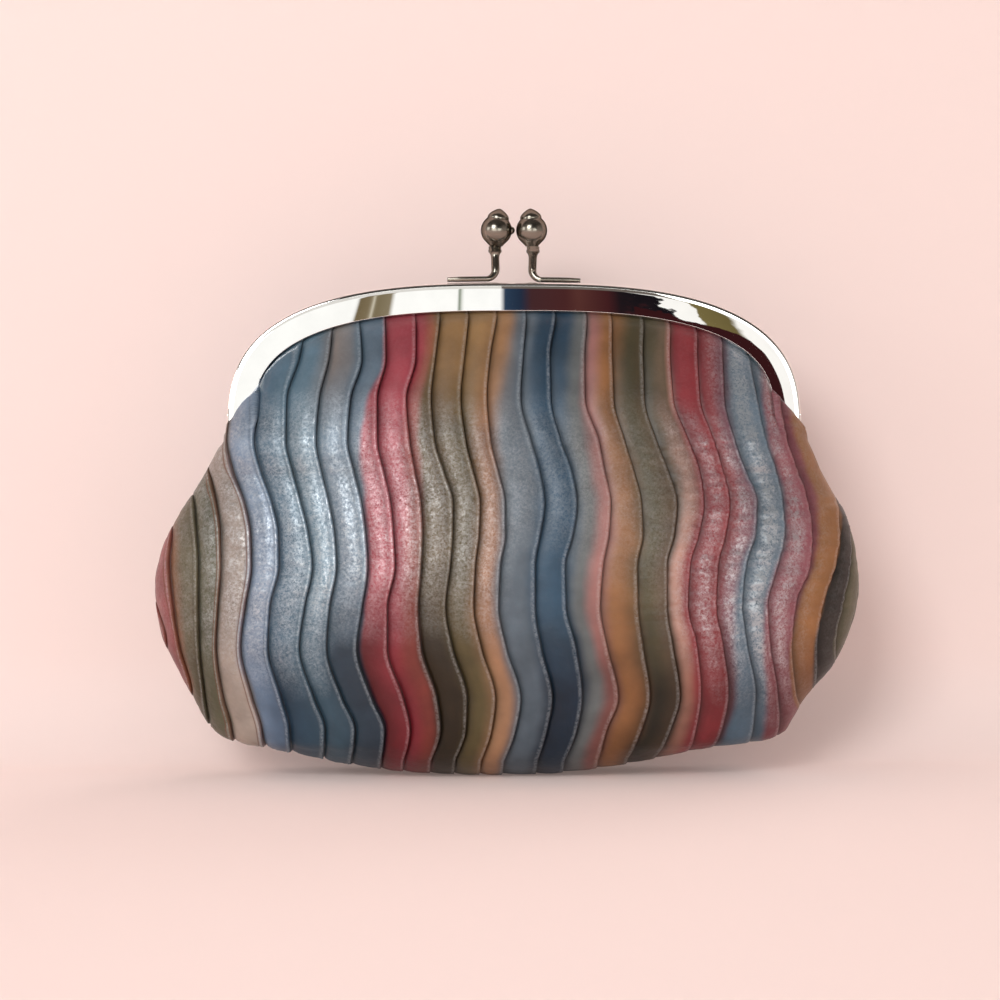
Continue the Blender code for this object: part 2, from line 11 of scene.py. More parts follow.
import bpy
import numpy as np
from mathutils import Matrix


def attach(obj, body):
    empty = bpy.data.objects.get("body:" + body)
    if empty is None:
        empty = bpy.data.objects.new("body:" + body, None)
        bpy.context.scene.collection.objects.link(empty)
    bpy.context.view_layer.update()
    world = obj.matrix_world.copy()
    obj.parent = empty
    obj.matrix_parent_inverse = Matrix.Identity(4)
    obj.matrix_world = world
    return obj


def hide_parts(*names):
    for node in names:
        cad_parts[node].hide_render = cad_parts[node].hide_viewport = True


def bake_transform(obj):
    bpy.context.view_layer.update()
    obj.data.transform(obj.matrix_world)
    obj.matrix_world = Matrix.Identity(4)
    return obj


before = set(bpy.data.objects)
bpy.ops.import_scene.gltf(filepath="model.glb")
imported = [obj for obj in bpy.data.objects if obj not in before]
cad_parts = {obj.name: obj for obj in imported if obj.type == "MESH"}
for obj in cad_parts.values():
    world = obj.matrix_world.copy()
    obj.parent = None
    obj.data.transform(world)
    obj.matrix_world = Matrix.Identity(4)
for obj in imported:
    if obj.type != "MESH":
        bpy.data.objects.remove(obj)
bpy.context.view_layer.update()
MM = 0.001

# %% [markdown]
# The photograph was taken from in front, a little to the left and above. Its
# whole width shows 236 mm at the purse, so the lens follows from the distance.
# A camera that stands 80 cm off keeps the perspective as mild as it is there.

# %% Camera
SEEN_WIDTH = 236 * MM
SENSOR_WIDTH = 36.0
DISTANCE = 800 * MM
CAMERA_TURN = math.radians(-3.0)
CAMERA_RISE = math.radians(2.0)
aim = np.array((-3.3, 0.0, 64.2)) * MM
camera_data = bpy.data.cameras.new("camera")
camera_data.sensor_width = SENSOR_WIDTH
camera_data.lens = SENSOR_WIDTH * DISTANCE / SEEN_WIDTH
camera = bpy.data.objects.new("camera", camera_data)
away = np.array((math.sin(CAMERA_TURN) * math.cos(CAMERA_RISE),
                 -math.cos(CAMERA_TURN) * math.cos(CAMERA_RISE), math.sin(CAMERA_RISE)))
camera.location = aim + away * DISTANCE
camera.rotation_euler = (math.pi / 2 - CAMERA_RISE, 0.0, CAMERA_TURN)
bpy.context.scene.collection.objects.link(camera)
bpy.context.scene.camera = camera
print("lens, mm:", round(camera_data.lens, 1))

# %% [markdown]
# Materials are node graphs. One small helper adds a node, sets its plain values
# and links whatever it is given as a socket, so each graph reads like a recipe.
# Colours are written as 0 to 255 and turned into the linear light that nodes use.

# %% Helpers for node graphs


def linear(colour):
    """Display values 0 to 255 to linear light: c / 12.92, or ((c + 0.055) / 1.055) ^ 2.4."""
    c = np.array(colour, float) / 255
    return np.where(c <= 0.04045, c / 12.92, ((c + 0.055) / 1.055) ** 2.4)


def new_graph(name):
    """A material with a Principled shader, its node tree and that shader."""
    material = bpy.data.materials.new(name)
    material.use_nodes = True
    return material, material.node_tree, material.node_tree.nodes["Principled BSDF"]


def add(tree, kind, inputs=None, **settings):
    """One node: settings are its properties, inputs are values or sockets by name or number."""
    made = tree.nodes.new(kind)
    for key, value in settings.items():
        setattr(made, key, value)
    for key, value in (inputs or {}).items():
        if isinstance(value, bpy.types.NodeSocket):
            tree.links.new(value, made.inputs[key])
        else:
            made.inputs[key].default_value = value
    return made


def sum_up(tree, operation, first, second, clamp=False):
    """A Math node on two values or sockets."""
    return add(tree, "ShaderNodeMath", {0: first, 1: second}, operation=operation,
               use_clamp=clamp).outputs[0]


def times(tree, *values):
    """The product of two or more values or sockets."""
    product = values[0]
    for value in values[1:]:
        product = sum_up(tree, "MULTIPLY", product, value)
    return product


def noise(tree, place, scale, detail, roughness=0.5):
    """Soft noise from 0 to 1 at a place, with scale lumps to each unit of it."""
    return add(tree, "ShaderNodeTexNoise", {"Vector": place, "Scale": scale, "Detail": detail,
                                            "Roughness": roughness}).outputs[0]


def ramp(tree, factor, stops, interpolation="LINEAR"):
    """A colour ramp from (place, linear colour or grey) stops."""
    made = add(tree, "ShaderNodeValToRGB", {"Fac": factor})
    made.color_ramp.interpolation = interpolation
    band = made.color_ramp.elements
    while len(band) < len(stops):
        band.new(0.5)
    for item, (place, colour) in zip(band, sorted(stops, key=lambda stop: stop[0])):
        item.position = place
        item.color = (*np.broadcast_to(colour, 3), 1.0)
    return made.outputs["Color"]


def mix(tree, factor, first, second, blend="MIX"):
    """Blends two colours or sockets by a factor."""
    made = add(tree, "ShaderNodeMix", {"Factor": factor}, data_type="RGBA", blend_type=blend)
    for socket, value in (("A", first), ("B", second)):
        place = next(s for s in made.inputs if s.name == socket and s.type == "RGBA")
        if isinstance(value, bpy.types.NodeSocket):
            tree.links.new(value, place)
        else:
            place.default_value = (*np.broadcast_to(value, 3), 1.0)
    return next(s for s in made.outputs if s.type == "RGBA")


print("camera and node helpers are ready")

# %% [markdown]
# The background is one sheet of pale pink card that runs from the table up
# behind the purse in a soft curve, so that no edge shows. A part of what the eye
# sees of it is its own even glow, which keeps it flat in tone, and the rest is
# lit and takes the shadow. Its back lets light and sight through, so the purse
# can also be looked at from behind and below.

# %% Pink card
CARD_BACK = 36 * MM
CARD_CURVE = 26 * MM
CARD_FRONT, CARD_TOP, CARD_HALF = -3.0, 2.5, 2.5
PINK = linear((251, 223, 214))
CARD_DYE = linear((253, 233, 227))
CARD_GLOW = 0.15
sweep = np.linspace(0.0, math.pi / 2, 13)
card_y = np.concatenate([[CARD_FRONT], CARD_BACK - CARD_CURVE + CARD_CURVE * np.sin(sweep),
                         [CARD_BACK]])
card_z = np.concatenate([[0.0], CARD_CURVE - CARD_CURVE * np.cos(sweep), [CARD_TOP]])
card_points = np.array([(x, y, z) for x in (-CARD_HALF, CARD_HALF)
                        for y, z in zip(card_y, card_z)])
card_n = len(card_y)
card_faces = [(i, i + card_n, i + card_n + 1, i + 1) for i in range(card_n - 1)]
card_mesh = bpy.data.meshes.new("pink_card")
card_mesh.from_pydata(card_points, [], card_faces)
card_mesh.shade_smooth()
card = bpy.data.objects.new("pink_card", card_mesh)
bpy.context.scene.collection.objects.link(card)
card_paint, tree, shader = new_graph("pink_card")
tree.nodes.remove(shader)
lit = add(tree, "ShaderNodeBsdfDiffuse", {"Color": (*CARD_DYE, 1.0)}).outputs[0]
glow = add(tree, "ShaderNodeEmission", {"Color": (*PINK, 1.0), "Strength": 1.0}).outputs[0]
clear = add(tree, "ShaderNodeBsdfTransparent").outputs[0]
rays = add(tree, "ShaderNodeLightPath")
looked_at = sum_up(tree, "MAXIMUM", rays.outputs["Is Camera Ray"], sum_up(
    tree, "MAXIMUM", rays.outputs["Is Glossy Ray"], rays.outputs["Is Transmission Ray"]))
even_part = times(tree, looked_at, CARD_GLOW)
lit = add(tree, "ShaderNodeMixShader", {0: even_part, 1: lit, 2: glow}).outputs[0]
facing_away = add(tree, "ShaderNodeNewGeometry").outputs["Backfacing"]
see_through = sum_up(tree, "MAXIMUM", facing_away, rays.outputs["Is Shadow Ray"])
both = add(tree, "ShaderNodeMixShader", {0: see_through, 1: lit, 2: clear}).outputs[0]
tree.links.new(both, tree.nodes["Material Output"].inputs["Surface"])
card_mesh.materials.append(card_paint)
print("card stands", round(CARD_BACK / MM), "mm behind the purse's middle")

# %% [markdown]
# The main light is a soft window up on the left. A weak one stands low at the
# left, one behind the card lights the other views, and a pale surround fills
# the shadows. Together they light a colour to about the value it is written in.
# Polished metal needs something to mirror: here a room that is paler below and
# dim overhead, which only mirrored rays see. The camera sees the card's pink.

# %% Light and the mirrored room
LIT_PLACE = (0.0, 0.0, 0.06)
SURROUND = 0.43
ROOM_TONES = ((0.0, (0.60, 0.54, 0.50)), (0.30, (0.42, 0.37, 0.34)), (0.62, (0.09, 0.075, 0.065)),
              (1.0, (0.14, 0.12, 0.11)))


def lamp(name, place, size, watts):
    """A square area lamp, size metres wide, that looks at the purse."""
    data = bpy.data.lights.new(name, "AREA")
    data.size = size
    data.energy = watts
    made = bpy.data.objects.new(name, data)
    made.location = place
    heading = np.array(LIT_PLACE) - place
    flat = math.hypot(heading[0], heading[1])
    made.rotation_euler = (math.atan2(flat, -heading[2]), 0.0,
                           math.atan2(-heading[0], heading[1]))
    bpy.context.scene.collection.objects.link(made)


lamp("window", (-0.70, -1.60, 0.88), 0.76, 16.4)
lamp("side_window", (-1.50, -0.70, 0.42), 0.5, 2.2)
lamp("back_window", (0.7, 1.3, 0.9), 0.8, 6.0)
world = bpy.data.worlds.new("surround")
bpy.context.scene.world = world
world.use_nodes = True
tree = world.node_tree
rays = add(tree, "ShaderNodeLightPath")
upward = add(tree, "ShaderNodeSeparateXYZ", {0: add(
    tree, "ShaderNodeTexCoord").outputs["Generated"]}).outputs["Z"]
room = ramp(tree, upward, ROOM_TONES)
glossy = add(tree, "ShaderNodeBackground", {"Color": room, "Strength": 1.0})
even = add(tree, "ShaderNodeBackground", {"Color": (1.0, 1.0, 1.0, 1.0), "Strength": SURROUND})
seen = add(tree, "ShaderNodeBackground", {"Color": (*PINK, 1.0), "Strength": 1.0})
first = add(tree, "ShaderNodeMixShader", {0: rays.outputs["Is Glossy Ray"], 1: even.outputs[0],
                                          2: glossy.outputs[0]}).outputs[0]
last = add(tree, "ShaderNodeMixShader", {0: rays.outputs["Is Camera Ray"], 1: first,
                                         2: seen.outputs[0]}).outputs[0]
tree.links.new(last, tree.nodes["World Output"].inputs["Surface"])
scene = bpy.context.scene
scene.view_settings.view_transform = "Standard"

# %% [markdown]
# The room's patches stand side by side on the board: mostly white, with brown,
# grey, navy and maroon between. The flat front of the frame mirrors them as the
# upright patches that the photograph shows. On the right their edges are ragged,
# and a dark low form is mirrored along the inner edge of the arch. Round the
# patches is one bright window pane with a bar, pale at the left and grey at the
# right, which only the balls, the stems and the bent edges can mirror.

# %% Board behind the camera
BOARD_Y = -1.8
BOARD_LEFT, BOARD_RIGHT = -1.40, 1.40
BOARD_LOW, BOARD_HIGH = -0.50, 2.20
PATCH_LOW, PATCH_TOP = 0.05, 0.205
PANE_LEFT, PANE_RIGHT, PANE_LOW, PANE_TOP = -1.30, 1.15, -0.20, 0.50
PANE_LIGHT = (3.0, 3.0, 2.91)
BAR_WIDTH, BAR_TOP = 0.24, 0.42
DIM_ROOM, PALE_BAR, GREY_BAR = (
    linear(tone) for tone in ((58, 54, 50), (222, 219, 214), (104, 96, 90)))
MIRRORED = 72.0
ROOM_PATCHES = (
    (-72.0, (255, 255, 252)), (-37.2, (255, 255, 252)), (-36.8, (112, 98, 72)),
    (-33.8, (126, 112, 86)), (-33.5, (200, 192, 172)), (-32.9, (200, 192, 172)),
    (-32.6, (120, 108, 82)), (-28.9, (136, 124, 100)),
    (-28.5, (255, 255, 252)), (-13.2, (255, 255, 252)), (-13.0, (112, 124, 104)),
    (-12.5, (150, 158, 140)), (-12.3, (255, 255, 252)), (-3.0, (255, 255, 253)),
    (-2.6, (44, 62, 84)), (1.5, (34, 46, 66)), (4.0, (66, 40, 42)), (12.0, (72, 38, 38)),
    (15.0, (84, 48, 44)), (22.0, (64, 30, 32)), (25.0, (28, 22, 26)), (31.4, (20, 18, 22)),
    (31.9, (252, 250, 246)), (41.0, (252, 250, 246)), (41.5, (118, 106, 66)),
    (50.0, (106, 94, 58)), (52.5, (252, 250, 246)),
)
RAGGED = ((25.0, 0.0), (29.0, 1.0), (36.0, 1.0), (44.0, 0.35), (60.0, 0.35))
RAGGED_LEAN, LEAN_FROM = 1.15, 0.175
RAGGED_WIDTH, RAGGED_SCALE, RAGGED_FORM = 0.12, 70.0, 0.02
BAR_TURNS_GREY = -3.0
BOARD_GLOW = 1.04
INNER_FORM = ((28.0, 0.1435), (36.0, 0.1400), (38.5, 0.1290), (42.0, 0.1270), (48.1, 0.1276),
              (52.0, 0.1265), (55.6, 0.1227), (59.2, 0.1125), (62.4, 0.0915), (64.5, 0.0660),
              (66.0, 0.0))
INNER_FORM_COLOUR = (52, 22, 24)
board_mesh = bpy.data.meshes.new("room_board")
board_mesh.from_pydata([(BOARD_LEFT, BOARD_Y, BOARD_LOW), (BOARD_RIGHT, BOARD_Y, BOARD_LOW),
                        (BOARD_RIGHT, BOARD_Y, BOARD_HIGH), (BOARD_LEFT, BOARD_Y, BOARD_HIGH)],
                       [], [(3, 2, 1, 0)])
board = bpy.data.objects.new("room_board", board_mesh)
scene.collection.objects.link(board)
for kind in ("camera", "diffuse", "shadow", "transmission", "volume_scatter"):
    setattr(board, "visible_" + kind, False)


def board_share(purse_x):
    """Share, over what the frame's front mirrors, of the patch seen at purse_x, in mm."""
    return (purse_x + MIRRORED) / (2 * MIRRORED)


board_paint, tree, shader = new_graph("room_board")
tree.nodes.remove(shader)
where = add(tree, "ShaderNodeTexCoord").outputs["Object"]
wander = noise(tree, where, RAGGED_SCALE, 3.0)
spot = add(tree, "ShaderNodeSeparateXYZ", {0: where}).outputs
spread_out = -BOARD_Y / DISTANCE
mirrored_x = sum_up(tree, "DIVIDE", sum_up(tree, "ADD", spot["X"], camera.location[0] * spread_out),
                    (1 + spread_out) * MM)
share = sum_up(tree, "DIVIDE", sum_up(tree, "ADD", mirrored_x, MIRRORED), 2 * MIRRORED)
raggedness = ramp(tree, share, [(board_share(x), amount) for x, amount in RAGGED])
jag = times(tree, sum_up(tree, "SUBTRACT", wander, 0.5), raggedness)
slant = times(tree, sum_up(tree, "SUBTRACT", LEAN_FROM, spot["Z"]), RAGGED_LEAN)
torn = sum_up(tree, "ADD", share, times(tree, jag, RAGGED_WIDTH))
torn = sum_up(tree, "SUBTRACT", torn, times(tree, slant, raggedness))
patches = ramp(tree, torn, [(board_share(x), linear(c)) for x, c in ROOM_PATCHES])
form_top = ramp(tree, share, [(board_share(x), height) for x, height in INNER_FORM])
form_top = sum_up(tree, "ADD", form_top, times(tree, jag, RAGGED_FORM))
inside_form = times(tree, sum_up(tree, "LESS_THAN", spot["Z"], form_top),
                    sum_up(tree, "GREATER_THAN", mirrored_x, INNER_FORM[0][0]))
patches = mix(tree, inside_form, patches, linear(INNER_FORM_COLOUR))


def within(value, low, high):
    """1 where a value lies between two limits, else 0."""
    return times(tree, sum_up(tree, "GREATER_THAN", value, low),
                 sum_up(tree, "LESS_THAN", value, high))


in_pane = times(tree, within(spot["X"], PANE_LEFT, PANE_RIGHT),
                within(spot["Z"], PANE_LOW, PANE_TOP))
on_bar = times(tree, within(spot["X"], -BAR_WIDTH, BAR_WIDTH),
               within(spot["Z"], PATCH_TOP, BAR_TOP))
in_strip = times(tree, within(mirrored_x, -MIRRORED, MIRRORED),
                 within(spot["Z"], PATCH_LOW, PATCH_TOP))
room_view = mix(tree, in_pane, DIM_ROOM, PANE_LIGHT)
right_part = sum_up(tree, "GREATER_THAN", mirrored_x, BAR_TURNS_GREY)
room_view = mix(tree, on_bar, room_view, mix(tree, right_part, PALE_BAR, GREY_BAR))
patches = mix(tree, in_strip, room_view, patches)
glow = add(tree, "ShaderNodeEmission", {"Color": patches, "Strength": BOARD_GLOW})
tree.links.new(glow.outputs[0], tree.nodes["Material Output"].inputs["Surface"])
board_mesh.materials.append(board_paint)
print("board patches:", len(ROOM_PATCHES))

# %% [markdown]
# The bag's outline was measured in the photograph: how far it reaches to the
# left and right at each height. Its depth isn't seen, and follows the solids.
# A monotone cubic joins the measured places, so the outline has no corners and
# doesn't overshoot.

# %% Outline of the bag


def soft_curve(at, places, values):
    """Monotone cubic through measured places: Hermite pieces with harmonic mean slopes."""
    x, y = np.asarray(places, float), np.asarray(values, float)
    step = np.diff(x)
    rise = np.diff(y) / step
    slope = np.concatenate([rise[:1], np.zeros(len(x) - 2), rise[-1:]])
    same = rise[:-1] * rise[1:] > 0
    before, after = np.where(same, rise[:-1], 1.0), np.where(same, rise[1:], 1.0)
    slope[1:-1] = np.where(same, 2 * before * after / (before + after), 0.0)
    i = np.clip(np.searchsorted(x, at) - 1, 0, len(step) - 1)
    t = np.clip((at - x[i]) / step[i], 0.0, 1.0)
    return (y[i] * (1 + 2 * t) * (1 - t) ** 2 + slope[i] * step[i] * t * (1 - t) ** 2
            + y[i + 1] * t ** 2 * (3 - 2 * t) + slope[i + 1] * step[i] * t ** 2 * (t - 1))


HINGE_HEIGHT = 78.0 * MM
LEFT_OUTLINE = np.array((
    (0.0, 24.0), (0.5, 29.0), (2.4, 38.5), (4.3, 47.0), (6.0, 53.5), (7.6, 59.5), (8.4, 65.0),
    (9.2, 68.6), (11.4, 71.6), (18.2, 75.6), (25.3, 79.4), (33.3, 83.0), (44.3, 84.5),
    (51.5, 83.2), (60.3, 79.2), (65.8, 75.6), (72.0, 71.8), (78.0, 68.6))) * MM
RIGHT_OUTLINE = np.array((
    (0.0, 14.0), (1.0, 20.0), (2.3, 27.0), (3.6, 33.5), (5.4, 40.5), (6.8, 47.5), (7.8, 55.0),
    (8.6, 61.0), (9.9, 64.4), (13.2, 66.4), (17.5, 69.0), (26.6, 76.4), (38.1, 81.0),
    (43.5, 81.8), (52.3, 80.9), (61.1, 78.4), (65.4, 75.8), (72.0, 71.9), (78.0, 68.8))) * MM
HALF_DEPTH = np.array((
    (0.0, 9.0), (1.5, 12.5), (3.0, 15.0), (5.7, 17.8), (8.6, 19.9), (13.0, 21.8), (18.0, 23.0),
    (26.0, 24.4), (34.0, 25.0), (44.0, 25.0), (52.0, 24.6), (60.0, 23.9), (66.0, 22.9),
    (73.0, 21.6), (78.0, 20.7))) * MM
COVER = np.array(((0.0, 0.12), (64.0, 0.12), (69.7, 1.2), (73.0, 4.1), (75.2, 5.9),
                  (78.0, 6.8))) * MM
print("outline places:", len(LEFT_OUTLINE), "left,", len(RIGHT_OUTLINE), "right")

# %% [markdown]
# One level round the front of the bag runs from the left seam over the full
# front to the right seam. Across it follows w sin(a) to a power, outwards it
# follows c + (d - c) cos(a), with a from 0 at the middle to a right angle at
# the seam. Places on it are named by their share of the way to the seam, which
# is how cloth is measured, so nothing stretches round the curve.

# %% One level round the bag
LEATHER = 1.0 * MM
BASE_LIFT, BASE_LIFT_END = 1.0 * MM, 8.0 * MM
SECTION_POWER = 2.8
TURN = np.linspace(0.0, math.pi / 2, 300)


def level_line(height):
    """Dense places along one level, left to right: share of the way, x, y, and run in metres."""
    depth = soft_curve(height, *HALF_DEPTH.T) - LEATHER / 2
    cover = soft_curve(height, *COVER.T)
    sides = []
    for outline in (LEFT_OUTLINE, RIGHT_OUTLINE):
        width = soft_curve(height, *outline.T) - LEATHER / 2
        across = width * np.sin(TURN) ** (2 / SECTION_POWER)
        out = cover + (depth - cover) * np.cos(TURN)
        run = np.concatenate([[0.0], np.cumsum(np.hypot(np.diff(across), np.diff(out)))])
        sides.append((run, across, out))
    left, right = sides
    return (np.concatenate([-left[0][::-1] / left[0][-1], right[0][1:] / right[0][-1]]),
            np.concatenate([-left[1][::-1], right[1][1:]]),
            -np.concatenate([left[2][::-1], right[2][1:]]))


def bag_level(height, share):
    """Front leather at shares of one level: x, y and z."""
    at, across, out = level_line(height)
    lift = BASE_LIFT * (1 - np.clip(height / BASE_LIFT_END, 0.0, 1.0)) ** 2
    level = np.full_like(share, height + lift)
    return np.stack([np.interp(share, at, across), np.interp(share, at, out), level], axis=-1)


print("half width at 44 mm:", round(bag_level(0.044, np.array([1.0]))[0, 0] / MM, 1))

# %% [markdown]
# The frame's outline is a superellipse over two short arms, as in the solids.
# The leather above the hinge swells out from the frame's lip and tucks into its
# channel. Beside the arms its free edge lies in front of the metal.

# %% Arch of the frame
FRAME_WIDTH = 135.0 * MM
ARCH_RISE = 35.3 * MM
ARM_LENGTH = 2.0 * MM
ARCH_POWER = 2.85
BAND_WIDTH, ARM_BAND_WIDTH = 6.6 * MM, 6.0 * MM
FRAME_DEPTH = 10.4 * MM
FRAME_SHEET = 0.8 * MM
CLEARANCE = 0.3 * MM
ARCH_FOOT = HINGE_HEIGHT + ARM_LENGTH


def arch_line(lowest, count):
    """Equal steps along |x / a|^p + |z / b|^p = 1 from left to right, with inward directions."""
    turn = np.linspace(math.pi, 0.0, 6001)
    power = 2 / ARCH_POWER
    across = np.sign(np.cos(turn)) * np.abs(np.cos(turn)) ** power * FRAME_WIDTH / 2
    height = ARCH_FOOT + np.maximum(np.sin(turn), 0.0) ** power * ARCH_RISE
    fine = np.stack([across, height], axis=-1)[height >= lowest]
    run = np.concatenate([[0.0], np.cumsum(np.hypot(*np.diff(fine, axis=0).T))])
    at = np.linspace(0.0, run[-1], count)
    places = np.stack([np.interp(at, run, fine[:, 0]), np.interp(at, run, fine[:, 1])], axis=-1)
    along = np.gradient(places, at, axis=0, edge_order=2)
    along /= np.linalg.norm(along, axis=1, keepdims=True)
    return places, np.stack([along[:, 1], -along[:, 0]], axis=-1)


def band_width_at(height):
    """The front wall is a little narrower down the arms."""
    share = np.clip((height - HINGE_HEIGHT) / (ARCH_RISE + ARM_LENGTH), 0.0, 1.0)
    return ARM_BAND_WIDTH + (BAND_WIDTH - ARM_BAND_WIDTH) * share


arch, arch_in = arch_line(ARCH_FOOT, 1201)
print("arch top at", round(arch[:, 1].max() / MM, 1), "mm")

# %% [markdown]
# Each column of the leather ends somewhere on the frame. The inner columns go
# into the channel beside the arch, and the outer ones end on the slanted free
# edge in front of an arm. Between the hinge and that end a column swells out
# with a power of what is left to rise, so that it dives in behind the lip.

# %% Leather above the hinge
CHANNEL_Y = -FRAME_DEPTH / 2 + FRAME_SHEET + CLEARANCE + LEATHER / 2
TUCKED_SHARE = 0.85
COVER_START = 0.88
COVER_FADE = 0.06
LIP_ROOM = 0.85 * MM
TUCK_DEPTH = 4.6 * MM
HEM = 0.3 * MM
HINGE_COVER = 6.8 * MM
HINGE_OVERHANG = 1.0 * MM
BULGE_POWER = 0.55
right_half = arch[:, 0] >= 0


def top_edge(share, tuck):
    """Where each column ends: tuck 0 is beside the lip, 1 is deep in the channel."""
    size = np.abs(share)
    inside = np.clip(size / TUCKED_SHARE, 0.0, 1.0)
    beyond = np.clip((size - TUCKED_SHARE) / (1 - TUCKED_SHARE), 0.0, 1.0)
    fade = np.clip((1 - inside) / COVER_FADE, 0.0, 1.0)
    depth = LIP_ROOM - tuck * np.maximum((TUCK_DEPTH + LIP_ROOM) * fade, HEM)
    places, inward = arch[right_half], arch_in[right_half]
    lip = places + inward * (band_width_at(places[:, 1]) + LIP_ROOM)[:, None]
    at = np.interp(inside * COVER_START * FRAME_WIDTH / 2, lip[:, 0], np.arange(len(lip)))
    index = np.arange(len(lip))
    base = np.stack([np.interp(at, index, places[:, i]) for i in (0, 1)], axis=-1)
    into = np.stack([np.interp(at, index, inward[:, i]) for i in (0, 1)], axis=-1)
    tucked = base + into * (band_width_at(base[:, 1]) + depth)[:, None]
    start = lip[np.searchsorted(lip[:, 0], COVER_START * FRAME_WIDTH / 2)]
    end = np.array((FRAME_WIDTH / 2 + HINGE_OVERHANG / 2, ARCH_FOOT + HINGE_OVERHANG))
    slope = math.atan2(*(end - start)[::-1])
    edge = start + (end - start) * beyond[:, None]
    edge = edge + HEM * tuck * np.array((-math.sin(slope), math.cos(slope)))
    lift = np.clip(beyond / 0.10, 0.0, 1.0)
    lift = lift * lift * (3 - 2 * lift)
    out = CHANNEL_Y + (-HINGE_COVER - CHANNEL_Y) * lift
    flat = np.where(beyond[:, None] > 0, edge, tucked)
    return np.stack([flat[:, 0] * np.sign(share), out, flat[:, 1]], axis=-1)


def front_line(place, share):
    """Front leather at one place up the bag: 0 bottom seam, 1 base edge, 2 hinge, 3 lip, 4 tucked."""
    if place <= 1:
        edge = bag_level(0.0, share)
        seam = edge * (0.80, 0.0, 1.0) - (0.0, CLEARANCE / 2, 0.0)
        return seam + (edge - seam) * place
    if place <= 2:
        return bag_level((place - 1) * HINGE_HEIGHT, share)
    rise = min(place - 2, 1.0)
    low, top = bag_level(HINGE_HEIGHT, share), top_edge(share, max(place - 3, 0.0))
    points = low + (top - low) * rise
    points[:, 1] = top[:, 1] + (low[:, 1] - top[:, 1]) * (1 - rise) ** BULGE_POWER
    return points


print("lip at the middle, mm:", np.round(top_edge(np.zeros(1), 0.0) / MM, 1))

# %% [markdown]
# The leather is laid in narrow tucks. Every tuck's fold line wanders to the
# left and right on its way down, because the tucks were pushed over by turns.
# The lines were measured in the photograph at 13 heights, each row here being
# one line from top to bottom. Further tucks follow at an even distance round
# the sides, where the photograph doesn't show them.

